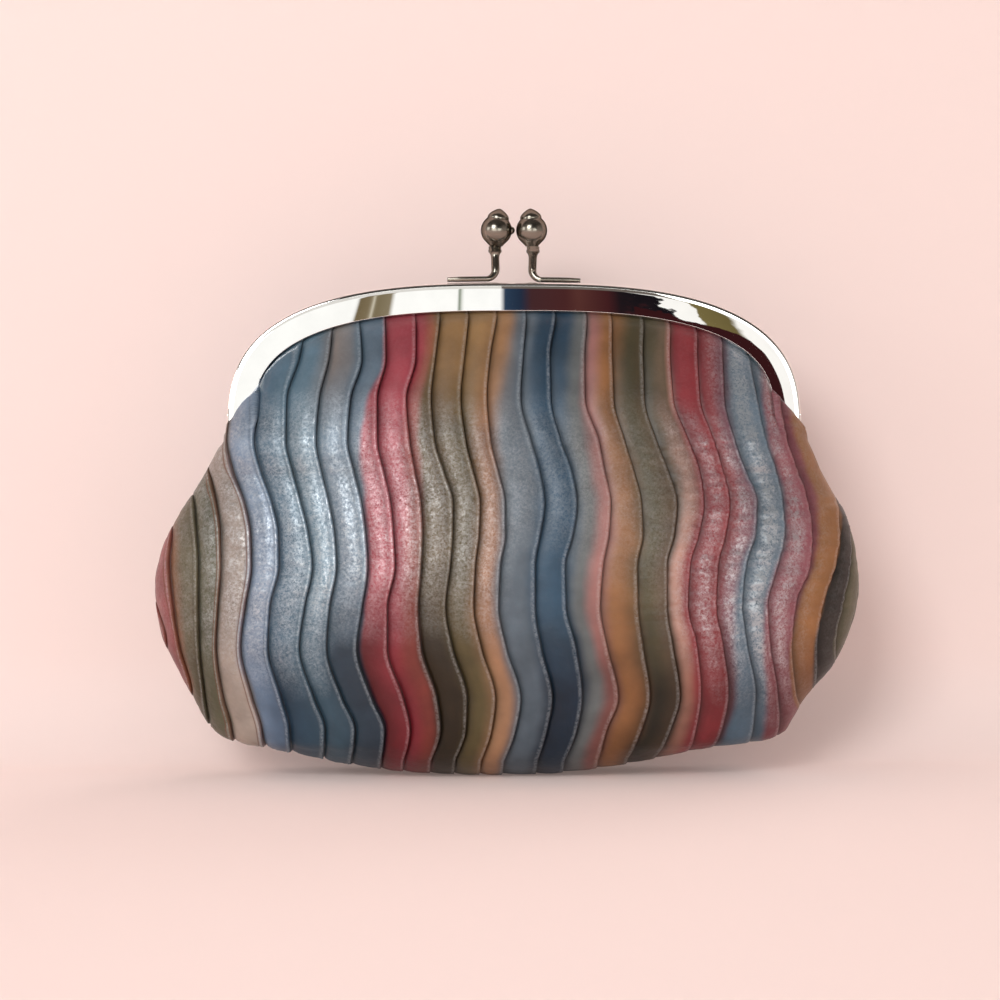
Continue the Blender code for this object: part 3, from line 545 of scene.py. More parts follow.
# %% Fold lines of the tucks
LINE_HEIGHTS = np.array((106.7, 97.2, 87.8, 78.4, 71.3, 64.2, 57.1, 50.0, 40.6, 31.2, 19.4,
                         12.3, 5.2)) * MM
FOLD_LINES = np.array((
    (-85.4, -87.4, -90.6, -92.0, -90.2, -87.6, -86.4, -86.8, -83.7, -81.1, -81.6, -84.3, -84.5),
    (-78.9, -81.0, -84.5, -85.9, -84.1, -81.1, -79.9, -80.4, -79.6, -78.2, -75.3, -77.7, -77.9),
    (-72.7, -74.7, -77.9, -79.4, -77.5, -74.8, -74.1, -73.6, -73.6, -73.4, -72.3, -71.5, -71.7),
    (-66.5, -68.5, -71.7, -73.1, -71.3, -69.6, -68.5, -68.4, -69.1, -69.6, -68.1, -66.3, -65.6),
    (-60.4, -62.4, -65.6, -67.0, -65.6, -63.0, -61.6, -61.4, -62.8, -63.9, -61.4, -59.3, -58.4),
    (-54.4, -56.4, -60.4, -60.7, -59.1, -56.7, -55.2, -55.1, -57.2, -57.7, -54.6, -52.8, -52.6),
    (-48.4, -50.4, -53.3, -53.5, -51.9, -50.0, -48.3, -47.5, -49.3, -50.5, -47.1, -44.7, -45.0),
    (-42.4, -43.6, -45.9, -46.6, -45.3, -43.6, -42.4, -42.0, -43.6, -44.3, -40.7, -37.8, -38.5),
    (-36.5, -36.0, -38.7, -39.4, -37.9, -36.2, -35.3, -34.9, -36.2, -37.4, -33.8, -31.0, -31.6),
    (-30.5, -30.5, -32.6, -32.6, -31.1, -29.6, -29.0, -28.7, -30.5, -30.5, -26.7, -25.2, -26.5),
    (-23.4, -23.6, -25.9, -25.2, -24.0, -22.7, -22.4, -22.7, -23.4, -22.7, -19.0, -18.2, -20.2),
    (-17.7, -19.1, -20.2, -19.5, -17.4, -15.4, -15.5, -16.1, -17.2, -15.6, -12.2, -12.4, -14.6),
    (-11.1, -12.4, -13.4, -12.4, -10.7, -9.2, -9.5, -10.4, -10.8, -9.0, -5.7, -6.5, -8.7),
    (-4.5, -6.5, -7.4, -6.7, -5.0, -3.5, -3.5, -4.7, -5.1, -3.3, 0.1, -1.0, -3.4),
    (2.4, 1.2, 0.4, 2.6, 4.6, 5.6, 4.5, 3.3, 3.3, 4.7, 7.4, 6.3, 4.5),
    (9.3, 7.4, 7.4, 9.5, 11.9, 13.0, 12.0, 10.2, 10.4, 12.7, 14.2, 13.2, 10.7),
    (16.6, 15.5, 15.3, 18.2, 19.5, 20.8, 20.3, 18.9, 18.2, 19.9, 22.6, 20.1, 18.5),
    (22.4, 21.9, 21.9, 24.2, 26.3, 27.9, 28.1, 26.8, 27.0, 28.2, 29.9, 28.2, 25.5),
    (30.0, 29.1, 29.1, 31.6, 34.3, 36.1, 35.4, 33.7, 33.7, 35.1, 36.9, 35.1, 32.3),
    (36.3, 35.4, 35.8, 39.1, 41.6, 42.4, 41.2, 39.1, 38.6, 40.7, 41.8, 41.0, 39.6),
    (42.8, 41.9, 42.1, 45.0, 47.1, 48.5, 47.5, 45.7, 45.2, 46.8, 48.4, 47.3, 44.5),
    (49.4, 47.8, 47.8, 49.9, 52.4, 54.9, 54.5, 52.3, 51.3, 52.5, 54.9, 54.7, 53.5),
    (56.1, 54.4, 55.6, 57.3, 59.7, 61.1, 61.6, 59.9, 57.3, 58.0, 60.4, 61.1, 59.9),
    (62.8, 61.1, 61.1, 62.3, 64.9, 67.2, 68.2, 67.7, 64.0, 63.3, 65.0, 68.0, 66.7),
    (69.7, 68.0, 68.0, 69.2, 71.8, 75.2, 75.3, 74.2, 70.9, 69.7, 70.4, 75.0, 73.7),
    (76.8, 75.0, 75.0, 76.2, 79.0, 82.8, 78.6, 78.1, 76.0, 74.2, 77.5, 82.5, 81.0))) * MM
TUCK_PITCH = 6.5 * MM
SPARE_TUCKS = 3
tuck_count = len(FOLD_LINES) - 1 + 2 * SPARE_TUCKS


def fold_runs(points, run):
    """How far along one level each fold line crosses it, spare ones at an even pitch."""
    order = np.argsort(LINE_HEIGHTS)
    crossings = []
    for line in FOLD_LINES:
        lead = points[:, 0] - soft_curve(points[:, 2], LINE_HEIGHTS[order], line[order])
        crossings.append(np.interp(0.0, lead, run) - np.maximum(lead[0], 0)
                         - np.minimum(lead[-1], 0))
    spare = TUCK_PITCH * np.arange(1, SPARE_TUCKS + 1)
    return np.concatenate([crossings[0] - spare[::-1], crossings, crossings[-1] + spare])


print("tucks:", tuck_count)

# %% [markdown]
# A tuck is a soft band that climbs from the fold line of its neighbour, dips at
# the row of stitches and ends in a raised lip, which hangs over the next band
# and throws a thin dark line. Its section is a short table of places across
# one pitch and heights in mm. The lip reaches past the pitch, so it overhangs.

# %% Section of one tuck
TUCK_SECTION = np.array((
    (0.00, -0.50), (0.07, -0.06), (0.20, 0.38), (0.41, 0.74), (0.63, 0.90), (0.82, 0.86),
    (0.900, 0.75), (0.950, 0.90), (1.015, 0.76), (1.01, 0.02)))
TUCK_SECTION[:, 1] *= MM


def smooth(share):
    """A soft step: 3 t^2 - 2 t^3 between 0 and 1."""
    t = np.clip(share, 0.0, 1.0)
    return t * t * (3 - 2 * t)


bag_heights = np.concatenate([
    np.array((0.0, 0.25, 0.5, 0.8, 1.15, 1.6, 2.1, 2.7, 3.3, 3.9, 4.5, 5.1, 5.7, 6.3, 6.8, 7.3,
              7.75, 8.15, 8.55, 9.0, 9.5, 10.1, 10.8, 11.6)) * MM,
    np.linspace(12.4 * MM, HINGE_HEIGHT, 92)])
rise = 1 - (1 - np.linspace(0.0, 1.0, 34)[1:]) ** 1.5
leather_places = np.concatenate([[0.0, 0.35, 0.7, 0.9], 1 + bag_heights / HINGE_HEIGHT,
                                 2 + rise, [3.15, 3.4, 3.7, 4.0]])
print("rows of leather:", len(leather_places), "columns:", tuck_count * len(TUCK_SECTION) + 1)

# %% [markdown]
# The surface is worked out row by row. For each row the crossings of the fold
# lines give the way from tuck number to place along the row, and the section
# table adds the relief along the surface's own direction outwards. Directions
# come from an even grid of the plain surface, by a cross product. Relief fades
# at the seams, under the base and inside the frame's channel. Small cross
# ripples, strongest at the right, are added as waves with a phase for each tuck.
# The tucks at the right are pressed lower, and what would go through the table
# lies flat on it.

# %% Grid of the pleated leather
EVEN = np.linspace(-1.0, 1.0, 361)
VIGOUR, STATURE, STATURE_LENGTH = 0.12, 0.16, 37.0 * MM
RIPPLE, RIPPLE_LENGTH, RIPPLE_LEAST = 0.11 * MM, 3.9 * MM, 0.25
SWING, SWING_LENGTH = 1.6, 9.0 * MM
RIPPLE_LOW, RIPPLE_HIGH, RIPPLE_EASE = 26 * MM, 92 * MM, 12 * MM
RIGHT_TUCK, RIGHT_EASE = 16.0, 4.0
PRESSED, PRESS = 0.42 * MM, 0.5
GROUND_GAP = 0.02 * MM
SEAM_EASE, SEAM_POWER = 8.0 * MM, 0.8
SEAM_GROOVE, GROOVE_WIDTH, GROOVE_TOP = 0.45 * MM, 0.9 * MM, 1.9
LIP_PLACE, LIP_EASE, LIP_FADE = 2.90, 0.10, 0.85
BASE_PLACE, BASE_EASE, BASE_LEAST = 0.95, 0.18, 0.25


def unit(vectors):
    """Vectors of length 1 in the same directions."""
    return vectors / np.maximum(np.linalg.norm(vectors, axis=-1, keepdims=True), 1e-12)


def plain_bag(places):
    """Plain front leather and its outward directions on an even grid of shares."""
    points = np.array([front_line(place, EVEN) for place in places])
    upward = np.gradient(points, axis=0)
    across = np.gradient(points, axis=1)
    return points, unit(np.cross(across, upward))


def spread(values, share):
    """A row of an even grid read at other shares, for each of its components."""
    return np.stack([np.interp(share, EVEN, column) for column in values.T], axis=-1)


def wave(level, length, phase):
    """A wave up the bag: sin(2 pi z / length + phase)."""
    return np.sin(level * 2 * math.pi / length + phase)


def tuck_columns():
    """Tuck number, relief, two phases and share of the way to the right, for each column."""
    number = np.repeat(np.arange(tuck_count), len(TUCK_SECTION))
    whole = np.append(number, tuck_count)
    column = np.append(number + np.tile(TUCK_SECTION[:, 0], tuck_count), tuck_count)
    height = np.append(np.tile(TUCK_SECTION[:, 1], tuck_count), TUCK_SECTION[0, 1])
    rng = np.random.default_rng(7)
    vigour = 1 + VIGOUR * rng.standard_normal(tuck_count + 1)
    phase = rng.uniform(0.0, 2 * math.pi, (2, tuck_count + 1))[:, whole]
    to_right = smooth((column - SPARE_TUCKS - RIGHT_TUCK) / RIGHT_EASE)
    height = PRESSED + (height * vigour[whole] - PRESSED) * (1 - PRESS * to_right)
    return column, height, phase, to_right


def ripples(level, phase, to_right):
    """Small cross ripples that swing up and down, and fade low and high on the bag."""
    swing = wave(level, SWING_LENGTH, phase[1]) * SWING
    ripple = RIPPLE * (RIPPLE_LEAST + to_right) * wave(level, RIPPLE_LENGTH, phase[0] + swing)
    ripple = ripple * smooth((level - RIPPLE_LOW) / RIPPLE_EASE)
    return ripple * smooth((RIPPLE_HIGH - level) / RIPPLE_EASE)


def relief_left(place, to_seam):
    """Share of the relief that is left at a place up the bag, at distances from a seam."""
    by_seam = smooth(to_seam / SEAM_EASE) ** SEAM_POWER
    by_lip = 1 - LIP_FADE * smooth((place - LIP_PLACE) / LIP_EASE)
    by_base = BASE_LEAST + (1 - BASE_LEAST) * smooth((place - BASE_PLACE) / BASE_EASE)
    return by_seam * by_lip * by_base


def seam_groove(place, to_seam):
    """The groove along a side seam, g exp(-(d / w)^2), which ends near the hinge."""
    return (place < GROOVE_TOP) * SEAM_GROOVE * np.exp(
        -(np.maximum(to_seam, 0) / GROOVE_WIDTH) ** 2)


def tuck_relief(places):
    """Outer points, plain points, directions, tuck numbers and ends of the leather."""
    plain, outward = plain_bag(places)
    column, height, phase, to_right = tuck_columns()
    lines = np.arange(tuck_count + 1)
    even_number = np.arange(len(column)) / len(TUCK_SECTION)
    base, top, out, ends = [], [], [], []
    for place, points, directions in zip(places, plain, outward):
        steps = np.linalg.norm(np.diff(points, axis=0), axis=1)
        run = np.concatenate([[0.0], np.cumsum(steps)])
        folds = fold_runs(points, run)
        at = np.interp(column, lines, folds)
        share = np.interp(np.clip(at, 0.0, run[-1]), run, EVEN)
        to_seam = np.minimum(at, run[-1] - at)
        here, facing = spread(points, share), unit(spread(directions, share))
        level = here[:, 2]
        stature = 1 + STATURE * wave(level, STATURE_LENGTH, phase[1])
        relief = height * stature + ripples(level, phase, to_right)
        outer = here + facing * (LEATHER / 2 + relief * relief_left(place, to_seam)
                                 - seam_groove(place, to_seam))[:, None]
        outer[:, 2] = np.maximum(outer[:, 2], GROUND_GAP)
        base.append(here)
        out.append(facing)
        top.append(outer)
        even_at = np.interp(even_number, lines, folds)
        ends.append((np.count_nonzero(even_at <= 0) - 1, np.count_nonzero(even_at < run[-1])))
    return np.array(top), np.array(base), np.array(out), column, np.array(ends)


leather_top, leather_base, leather_out, leather_column, leather_ends = (
    tuck_relief(leather_places))
print("leather grid:", leather_top.shape)

# %% [markdown]
# The grid becomes a closed skin: the tucked face outside, a plain face inside
# of it, and a rim that joins them along the border. Columns that lie past
# a seam are drawn together on it, and faces that vanish there are left out.

# %% From grid to closed skin


def grid_index(rows, columns, ends=None):
    """Point numbers of a grid, where columns past either end of a row share its end point."""
    column = np.arange(columns)[None, :]
    if ends is not None:
        column = np.clip(column, np.maximum(ends[:, :1], 0), np.minimum(ends[:, 1:], columns - 1))
    return np.arange(rows)[:, None] * columns + column


def triangles_of(index):
    """Two triangles for each square of a grid, without those that have lost a corner."""
    a, b, c, d = index[:-1, :-1], index[:-1, 1:], index[1:, 1:], index[1:, :-1]
    both = np.concatenate([np.stack([a, b, c], -1).reshape(-1, 3),
                           np.stack([a, c, d], -1).reshape(-1, 3)])
    whole = (both[:, 0] != both[:, 1]) & (both[:, 1] != both[:, 2]) & (both[:, 0] != both[:, 2])
    return both[whole]


def closed_skin(outer, inner, index):
    """Outer and inner faces with a rim: an edge used once is the border, and gets two faces."""
    face = triangles_of(index)
    shift = len(outer)
    edges = np.concatenate([face[:, [0, 1]], face[:, [1, 2]], face[:, [2, 0]]])
    code = edges[:, 0] * np.int64(shift) + edges[:, 1]
    back = edges[:, 1] * np.int64(shift) + edges[:, 0]
    rim = edges[~np.isin(code, back)]
    a, b = rim.T
    walls = np.concatenate([np.stack([b, a, a + shift], -1),
                            np.stack([b, a + shift, b + shift], -1)])
    return np.concatenate([outer, inner]), np.concatenate([face, face[:, ::-1] + shift, walls])


def new_piece(name, points, faces, material, maps=None):
    """A smooth mesh object at the origin, with UV maps given for each point."""
    used, slim = np.unique(faces, return_inverse=True)
    mesh = bpy.data.meshes.new(name)
    mesh.from_pydata(np.asarray(points)[used], [], slim.reshape(faces.shape))
    corners = used[slim.ravel()]
    for label, values in (maps or {}).items():
        layer = mesh.uv_layers.new(name=label)
        layer.data.foreach_set("uv", np.asarray(values)[corners].astype(np.float32).ravel())
    mesh.shade_smooth()
    mesh.materials.append(material)
    made = bpy.data.objects.new(name, mesh)
    scene.collection.objects.link(made)
    return made


print("skin helpers are ready")

# %% [markdown]
# The leather was dyed in soft stripes that run with the tucks but lean a little
# to the right near the top, then brushed with a pearly silver. A palette names
# the dyes, and the stripes say at which fold line each dye is purest and how
# much darker its colour turns at the bottom, where no silver was brushed on.

# %% Dyes and their order
DYES = {
    "maroon": (130, 66, 66), "rust": (108, 72, 44), "bark": (84, 76, 54),
    "stone": (82, 80, 60), "pebble": (130, 117, 106), "haze": (108, 128, 150),
    "slate": (64, 94, 114), "mist": (92, 120, 136), "lead": (100, 120, 136),
    "crimson": (158, 62, 74), "brick": (138, 66, 56), "umber": (86, 70, 40),
    "olive": (84, 72, 42), "tan": (138, 96, 66), "ash": (86, 98, 108),
    "navy": (42, 72, 94), "sage": (92, 96, 96), "rose": (156, 108, 102),
    "amber": (138, 94, 56), "moss": (78, 70, 44), "sepia": (92, 74, 54),
    "peach": (176, 132, 116), "ruby": (132, 44, 50), "plum": (118, 66, 78),
    "steel": (86, 108, 124), "heather": (136, 68, 78), "ochre": (148, 100, 56),
    "coal": (34, 26, 18), "khaki": (86, 82, 58),
}
STRIPES = (
    (-1.0, "maroon", 0.3), (0.9, "maroon", 0.3), (1.15, "rust", 0.2), (1.6, "bark", 0.2),
    (2.0, "bark", 0.3), (2.15, "stone", 0.2), (2.9, "stone", 0.0), (3.15, "pebble", -0.3),
    (3.85, "pebble", -0.4), (4.2, "haze", 0.2), (4.85, "haze", 0.5), (5.15, "slate", 0.6),
    (6.4, "mist", 0.7), (7.5, "lead", 1.2), (7.95, "lead", 1.2), (8.2, "crimson", 1.1),
    (9.2, "crimson", 0.6), (9.8, "brick", 0.4), (10.15, "umber", 0.9), (10.7, "umber", 0.9),
    (11.5, "olive", 0.05), (12.5, "tan", -0.3), (13.1, "ash", 0.1), (13.6, "ash", 0.2),
    (14.1, "navy", 0.9), (14.9, "navy", 0.7), (15.4, "sage", 0.0), (15.85, "rose", 0.6),
    (16.4, "amber", 0.2), (17.3, "moss", 1.0), (17.95, "sepia", 0.6), (18.4, "peach", 0.6),
    (18.95, "ruby", 0.1), (20.2, "ruby", 0.3), (20.7, "plum", 0.6), (21.1, "steel", 0.25),
    (21.9, "steel", 0.25), (22.2, "heather", 0.4), (23.1, "heather", 0.4), (23.35, "ochre", 0.3),
    (24.05, "ochre", 0.5), (24.2, "coal", 0.2), (25.0, "coal", 0.2), (25.2, "khaki", 0.4),
)
print("dyes:", len(DYES), "stripes:", len(STRIPES))

# %% [markdown]
# The finish reads a map whose first number counts tucks and whose second is the
# height, both as shares, so the stripes bend with the tucks. Tables say where
# along the tucks, across one tuck, or up the bag, something is strong or weak.
# A ramp holds 32 stops, so the stripes are split over two.

# %% Maps and tables of the leather's finish
DYE_START, DYE_SPAN = -1.5, 29.0
HEIGHT_SPAN = 115.0 * MM
RAMP_SPLIT = 22


def dye_place(number):
    """Where a fold line stands on the dye map."""
    return (number - DYE_START) / DYE_SPAN


def by_tuck(tree, tuck, table):
    """A ramp over the tucks from (fold line, value) stops."""
    return ramp(tree, tuck, [(dye_place(number), value) for number, value in table])


def deeper(colour, depth):
    """The same dye deepened: c ^ (1 + 0.5 d) times 1 - 0.45 d."""
    return linear(colour) ** (1 + 0.5 * depth) * (1 - 0.45 * depth)


def stripe_ramp(tree, number, finish):
    """All stripes on one map, as two ramps that meet at a fold line."""
    halves = []
    for stripes in (STRIPES[:RAMP_SPLIT + 1], STRIPES[RAMP_SPLIT:]):
        low, high = dye_place(stripes[0][0]), dye_place(stripes[-1][0])
        along = sum_up(tree, "DIVIDE", sum_up(tree, "SUBTRACT", number, low), high - low)
        halves.append(ramp(tree, along, [
            ((dye_place(n) - low) / (high - low), finish(DYES[dye_name], depth))
            for n, dye_name, depth in stripes], "EASE"))
    beyond = sum_up(tree, "GREATER_THAN", number, dye_place(STRIPES[RAMP_SPLIT][0]))
    return mix(tree, beyond, *halves)


print("stripes on the first ramp:", RAMP_SPLIT + 1)

# %% [markdown]
# The dyes come first. The stripes lean to the right near the top and sink back
# at the lower right, and their borders drift a little. Low on the bag each colour
# is at its darkest, and near the top it darkens part way again. Warm brown and
# dusky olive tint a few tucks near the top, the whole is a little uneven, and a
# band high on the bag is darkened with painted shade.

# %% Dyed layer
LEAN = ((0.0, 0.0), (6.6, 0.0), (8.0, 0.9), (13.0, 0.9), (14.3, 0.5), (16.5, 0.35), (24.0, 0.3))
LEAN_HEIGHTS = ((0.56, 0.0), (0.86, 1 / DYE_SPAN))
SINK = ((19.4, 0.0), (20.2, 0.8), (24.0, 0.4))
SINK_HEIGHTS = ((0.10, 1 / DYE_SPAN), (0.46, 0.0))
DRIFT, DRIFT_PER_CM = 0.016, 0.7
DEEP_UNTIL = ((0.0, 20.0), (6.6, 22.0), (7.3, 31.0), (11.6, 32.0), (12.6, 24.0), (24.0, 18.0))
LIGHT_HEIGHTS = ((0.68, 1.0), (0.84, 0.55))
WARM = ((6.6, 0.0), (7.2, 0.4), (7.7, 0.25), (7.95, 0.0), (10.4, 0.0), (11.1, 0.55),
        (12.6, 0.75), (13.4, 0.45), (13.9, 0.0))
WARM_HEIGHTS = ((0.70, 0.0), (0.84, 1.0))
WARM_DYE = linear((148, 112, 70))
DUSK = ((17.8, 0.0), (18.1, 0.85), (18.8, 0.85), (18.95, 0.0))
DUSK_HEIGHTS = ((0.48, 0.0), (0.78, 1.0))
DUSK_DYE = linear((74, 68, 48))
UNEVEN_PER_CM, UNEVEN = 1.3, ((0.3, 0.80), (0.7, 1.22))
# Painted shade by height: darkest at about 71 mm up.
HIGH_PAINTED_SHADE = ((0.46, 1.0), (0.62, 0.86), (0.72, 0.90), (0.84, 0.96))
SILVER_FADE = 20.0 * MM


def shifted(tree, tuck, height, skin):
    """Tuck numbers moved by lean and sink, and by a slow drift."""
    lean = times(tree, ramp(tree, height, LEAN_HEIGHTS), by_tuck(tree, tuck, LEAN))
    sink = times(tree, ramp(tree, height, SINK_HEIGHTS), by_tuck(tree, tuck, SINK))
    drift = times(tree, sum_up(tree, "SUBTRACT", noise(tree, skin, DRIFT_PER_CM, 2.0), 0.5), DRIFT)
    moved = sum_up(tree, "SUBTRACT", tuck, sum_up(tree, "SUBTRACT", lean, sink))
    return sum_up(tree, "ADD", moved, drift)


def above_line(tree, level, tuck, table):
    """0 below a line of (fold line, height in mm), rising to 1 over the silver's fade."""
    line = by_tuck(tree, tuck, [(number, z * MM / HEIGHT_SPAN) for number, z in table])
    return sum_up(tree, "MULTIPLY", sum_up(tree, "SUBTRACT", level, line),
                  HEIGHT_SPAN / SILVER_FADE, clamp=True)


def dyed_layer(tree, tuck, height, level, skin):
    """The leather's colour without silver, with painted shade high on the bag, and its lightest dyes.
    """
    number = shifted(tree, tuck, height, skin)
    light = stripe_ramp(tree, number, lambda colour, depth: linear(colour))
    deep = stripe_ramp(tree, number, deeper)
    pure = above_line(tree, level, tuck, DEEP_UNTIL)
    dyed = mix(tree, times(tree, pure, ramp(tree, height, LIGHT_HEIGHTS)), deep, light)
    for tucks, heights, colour in ((WARM, WARM_HEIGHTS, WARM_DYE), (DUSK, DUSK_HEIGHTS, DUSK_DYE)):
        tinted = times(tree, by_tuck(tree, tuck, tucks), ramp(tree, height, heights))
        dyed = mix(tree, tinted, dyed, colour)
    uneven = ramp(tree, noise(tree, skin, UNEVEN_PER_CM, 3.0), UNEVEN)
    dyed = mix(tree, 1.0, dyed, uneven, "MULTIPLY")
    # Painted shade over a band high on the bag.
    return mix(tree, 1.0, dyed, ramp(tree, height, HIGH_PAINTED_SHADE), "MULTIPLY"), light


print("dyed layer is ready")

# %% [markdown]
# Silver was brushed over the middle of the bag. It is thickest on the crest of
# each tuck, which also stands for a painted highlight there and painted shade
# towards the folds, and it is broken up by a fine grain and by single flakes.
# Where the leather is drawn into puckers it is thinner in their hollows and
# thicker on their ridges, as painted shade and painted highlight. The raised
# lips keep a little of it all the way down, partly as a painted highlight. At
# the right it lies in narrower bands.

# %% Brushed silver
SILVER = linear((216, 220, 222))
SILVER_DYE = 0.48
SILVER_COVER = ((0.0, 0.08), (2.0, 0.14), (3.2, 0.34), (4.2, 0.42), (5.3, 0.42), (6.8, 0.51),
                (8.5, 0.42), (9.6, 0.42), (10.4, 0.36), (12.6, 0.28), (13.8, 0.18), (18.2, 0.12),
                (19.2, 0.38), (20.6, 0.44), (21.4, 0.74), (22.6, 0.46), (23.2, 0.18), (23.6, 0.04))
SILVER_FROM = ((0.0, 18.0), (6.6, 19.0), (7.3, 31.0), (11.6, 32.0), (12.6, 28.0), (13.6, 50.0),
               (16.0, 46.0), (17.5, 34.0), (19.5, 16.0), (24.0, 10.0))
SILVER_HEIGHTS = ((0.50, 1.0), (0.70, 0.78), (0.79, 0.0))
SILVER_TO_TOP = ((20.0, 0.06), (21.2, 0.75))
FLAKES_PER_CM, MOTTLE_PER_CM, MOTTLE_ROUGHNESS = 30.0, 14.0, 0.7
FLAKE_SHARE = 0.45
GRAIN = ((0.39, 0.0), (0.64, 1.0))
SILVER_GAIN, SILVER_LEAST, LIP_GAIN = 2.05, 0.06, 0.46
AT_RIGHT = ((17.0, 0.0), (19.0, 1.0))
# Silver across one tuck: thick on the crest as a painted highlight, thin near the folds as painted
# shade.
CREST = ((0.0, 0.25), (0.12, 0.60), (0.35, 1.0), (0.78, 1.06), (0.88, 0.65), (0.95, 1.25),
         (1.0, 0.5))
RIGHT_CREST = ((0.0, 0.15), (0.16, 0.40), (0.42, 1.25), (0.66, 1.05), (0.86, 0.40), (0.95, 0.7),
               (1.0, 0.2))
# Silver on each raised lip, partly a painted highlight.
LIP = ((0.86, 0.0), (0.93, 0.9), (0.98, 1.0), (1.0, 0.2))
PUCKERS = ((0.0, 0.3), (2.4, 0.8), (4.2, 0.6), (5.0, 0.25), (17.5, 0.25), (18.8, 0.6), (22.5, 0.55),
           (23.6, 0.4))
PUCKER_HEIGHTS = ((0.70, 1.0), (0.86, 0.3))
PUCKER_SCALE, PUCKERS_PER_CM, PUCKER_ROUGHNESS = (1.3, 1.3, 1.9), 2.0, 0.6
# Painted highlight on pucker ridges and painted shade in their hollows, as more or less silver.
PUCKER_RIDGE_LIGHT = ((0.38, 0.5), (0.66, 1.6))


def puckers(tree, tuck, height, skin):
    """Low cross wrinkles, flatter than they are wide, and how strong they are at each place."""
    place = add(tree, "ShaderNodeMapping", {"Vector": skin, "Scale": PUCKER_SCALE}).outputs[0]
    drawn = times(tree, by_tuck(tree, tuck, PUCKERS), ramp(tree, height, PUCKER_HEIGHTS))
    return noise(tree, place, PUCKERS_PER_CM, 2.0, PUCKER_ROUGHNESS), drawn


def silver_layer(tree, tuck, level, skin, in_tuck, pucker, drawn):
    """How much silver lies at each place, with painted highlights on crests, pucker ridges and lips,
    and the fine grain that breaks it up.
    """
    below = sum_up(tree, "MAXIMUM", ramp(tree, level, SILVER_HEIGHTS),
                   by_tuck(tree, tuck, SILVER_TO_TOP))
    crest = mix(tree, by_tuck(tree, tuck, AT_RIGHT), ramp(tree, in_tuck, CREST),
                ramp(tree, in_tuck, RIGHT_CREST))
    # Silver, with painted highlights on crests and pucker ridges.
    brushed_with_highlights = times(tree, above_line(tree, level, tuck, SILVER_FROM), below,
                    by_tuck(tree, tuck, SILVER_COVER), crest,
                    mix(tree, drawn, 1.0, ramp(tree, pucker, PUCKER_RIDGE_LIGHT)))
    grain = noise(tree, skin, MOTTLE_PER_CM, 4.0, MOTTLE_ROUGHNESS)
    flake = add(tree, "ShaderNodeTexVoronoi", {"Vector": skin, "Scale": FLAKES_PER_CM})
    chance = add(tree, "ShaderNodeSeparateXYZ", {0: flake.outputs["Color"]}).outputs["X"]
    mottle = mix(tree, FLAKE_SHARE, ramp(tree, grain, GRAIN), chance)
    dense = sum_up(tree, "ADD", times(tree, mottle, SILVER_GAIN), SILVER_LEAST)
    silver = sum_up(tree, "MULTIPLY", brushed_with_highlights, dense, clamp=True)
    # Silver on the lips, partly a painted highlight.
    on_lip = times(tree, ramp(tree, in_tuck, LIP), times(tree, mottle, LIP_GAIN))
    return sum_up(tree, "MAXIMUM", silver, on_lip, clamp=True), grain


print("brushed silver is ready")

# %% [markdown]
# Last, each fold line gets its painted shade. The leather darkens towards the
# bottom of a fold, has a fine line of painted shade in the stitch groove below
# the lip and a painted highlight on the lip, and shows a rusty edge on some tucks
# at the left. Silver makes it smoother and more like metal, and two bumps add
# puckers and grain.

# %% Pleated leather finish
WOBBLE, WOBBLE_PER_CM = 0.16, 0.5
BY_LINE = ((0.0, 1.0), (0.03, 0.0), (0.865, 0.0), (0.885, 1.0), (0.905, 0.6), (0.92, 0.0),
           (0.985, 0.1), (1.0, 1.0))
RUSTY = ((0.7, 1.0), (1.3, 1.0), (1.6, 0.0), (2.6, 0.0), (2.85, 1.0), (4.1, 0.8), (4.4, 0.0))
RUSTY_DYE, RUST_STRENGTH = linear((118, 66, 40)), 0.75
SHADE = ((0.0, 0.24), (0.30, 0.70), (0.72, 1.0), (1.0, 1.04))
RIGHT_SHADE = ((0.0, 0.30), (0.45, 0.62), (0.85, 1.0), (1.0, 1.04))
# Painted shade in the stitch groove below the lip, and a painted highlight on the lip.
STITCH_SHADE_AND_LIP_LIGHT = ((0.80, 1.0), (0.865, 0.96), (0.885, 0.70), (0.905, 0.82), (0.93, 1.0), (0.96, 1.10),
            (1.0, 1.0))
# How strongly that painted shade and highlight show on each tuck.
STITCH_SHADE_SHOWS = ((0.0, 0.8), (5.2, 0.7), (6.5, 0.12), (24.0, 0.12))
SILVER_METAL, PLAIN_ROUGHNESS, SILVER_SMOOTHS, SPECULAR_LEVEL = 0.5, 0.43, 0.15, 0.40
PUCKER_BUMP, GRAIN_BUMP = 0.55 * MM, 0.06 * MM


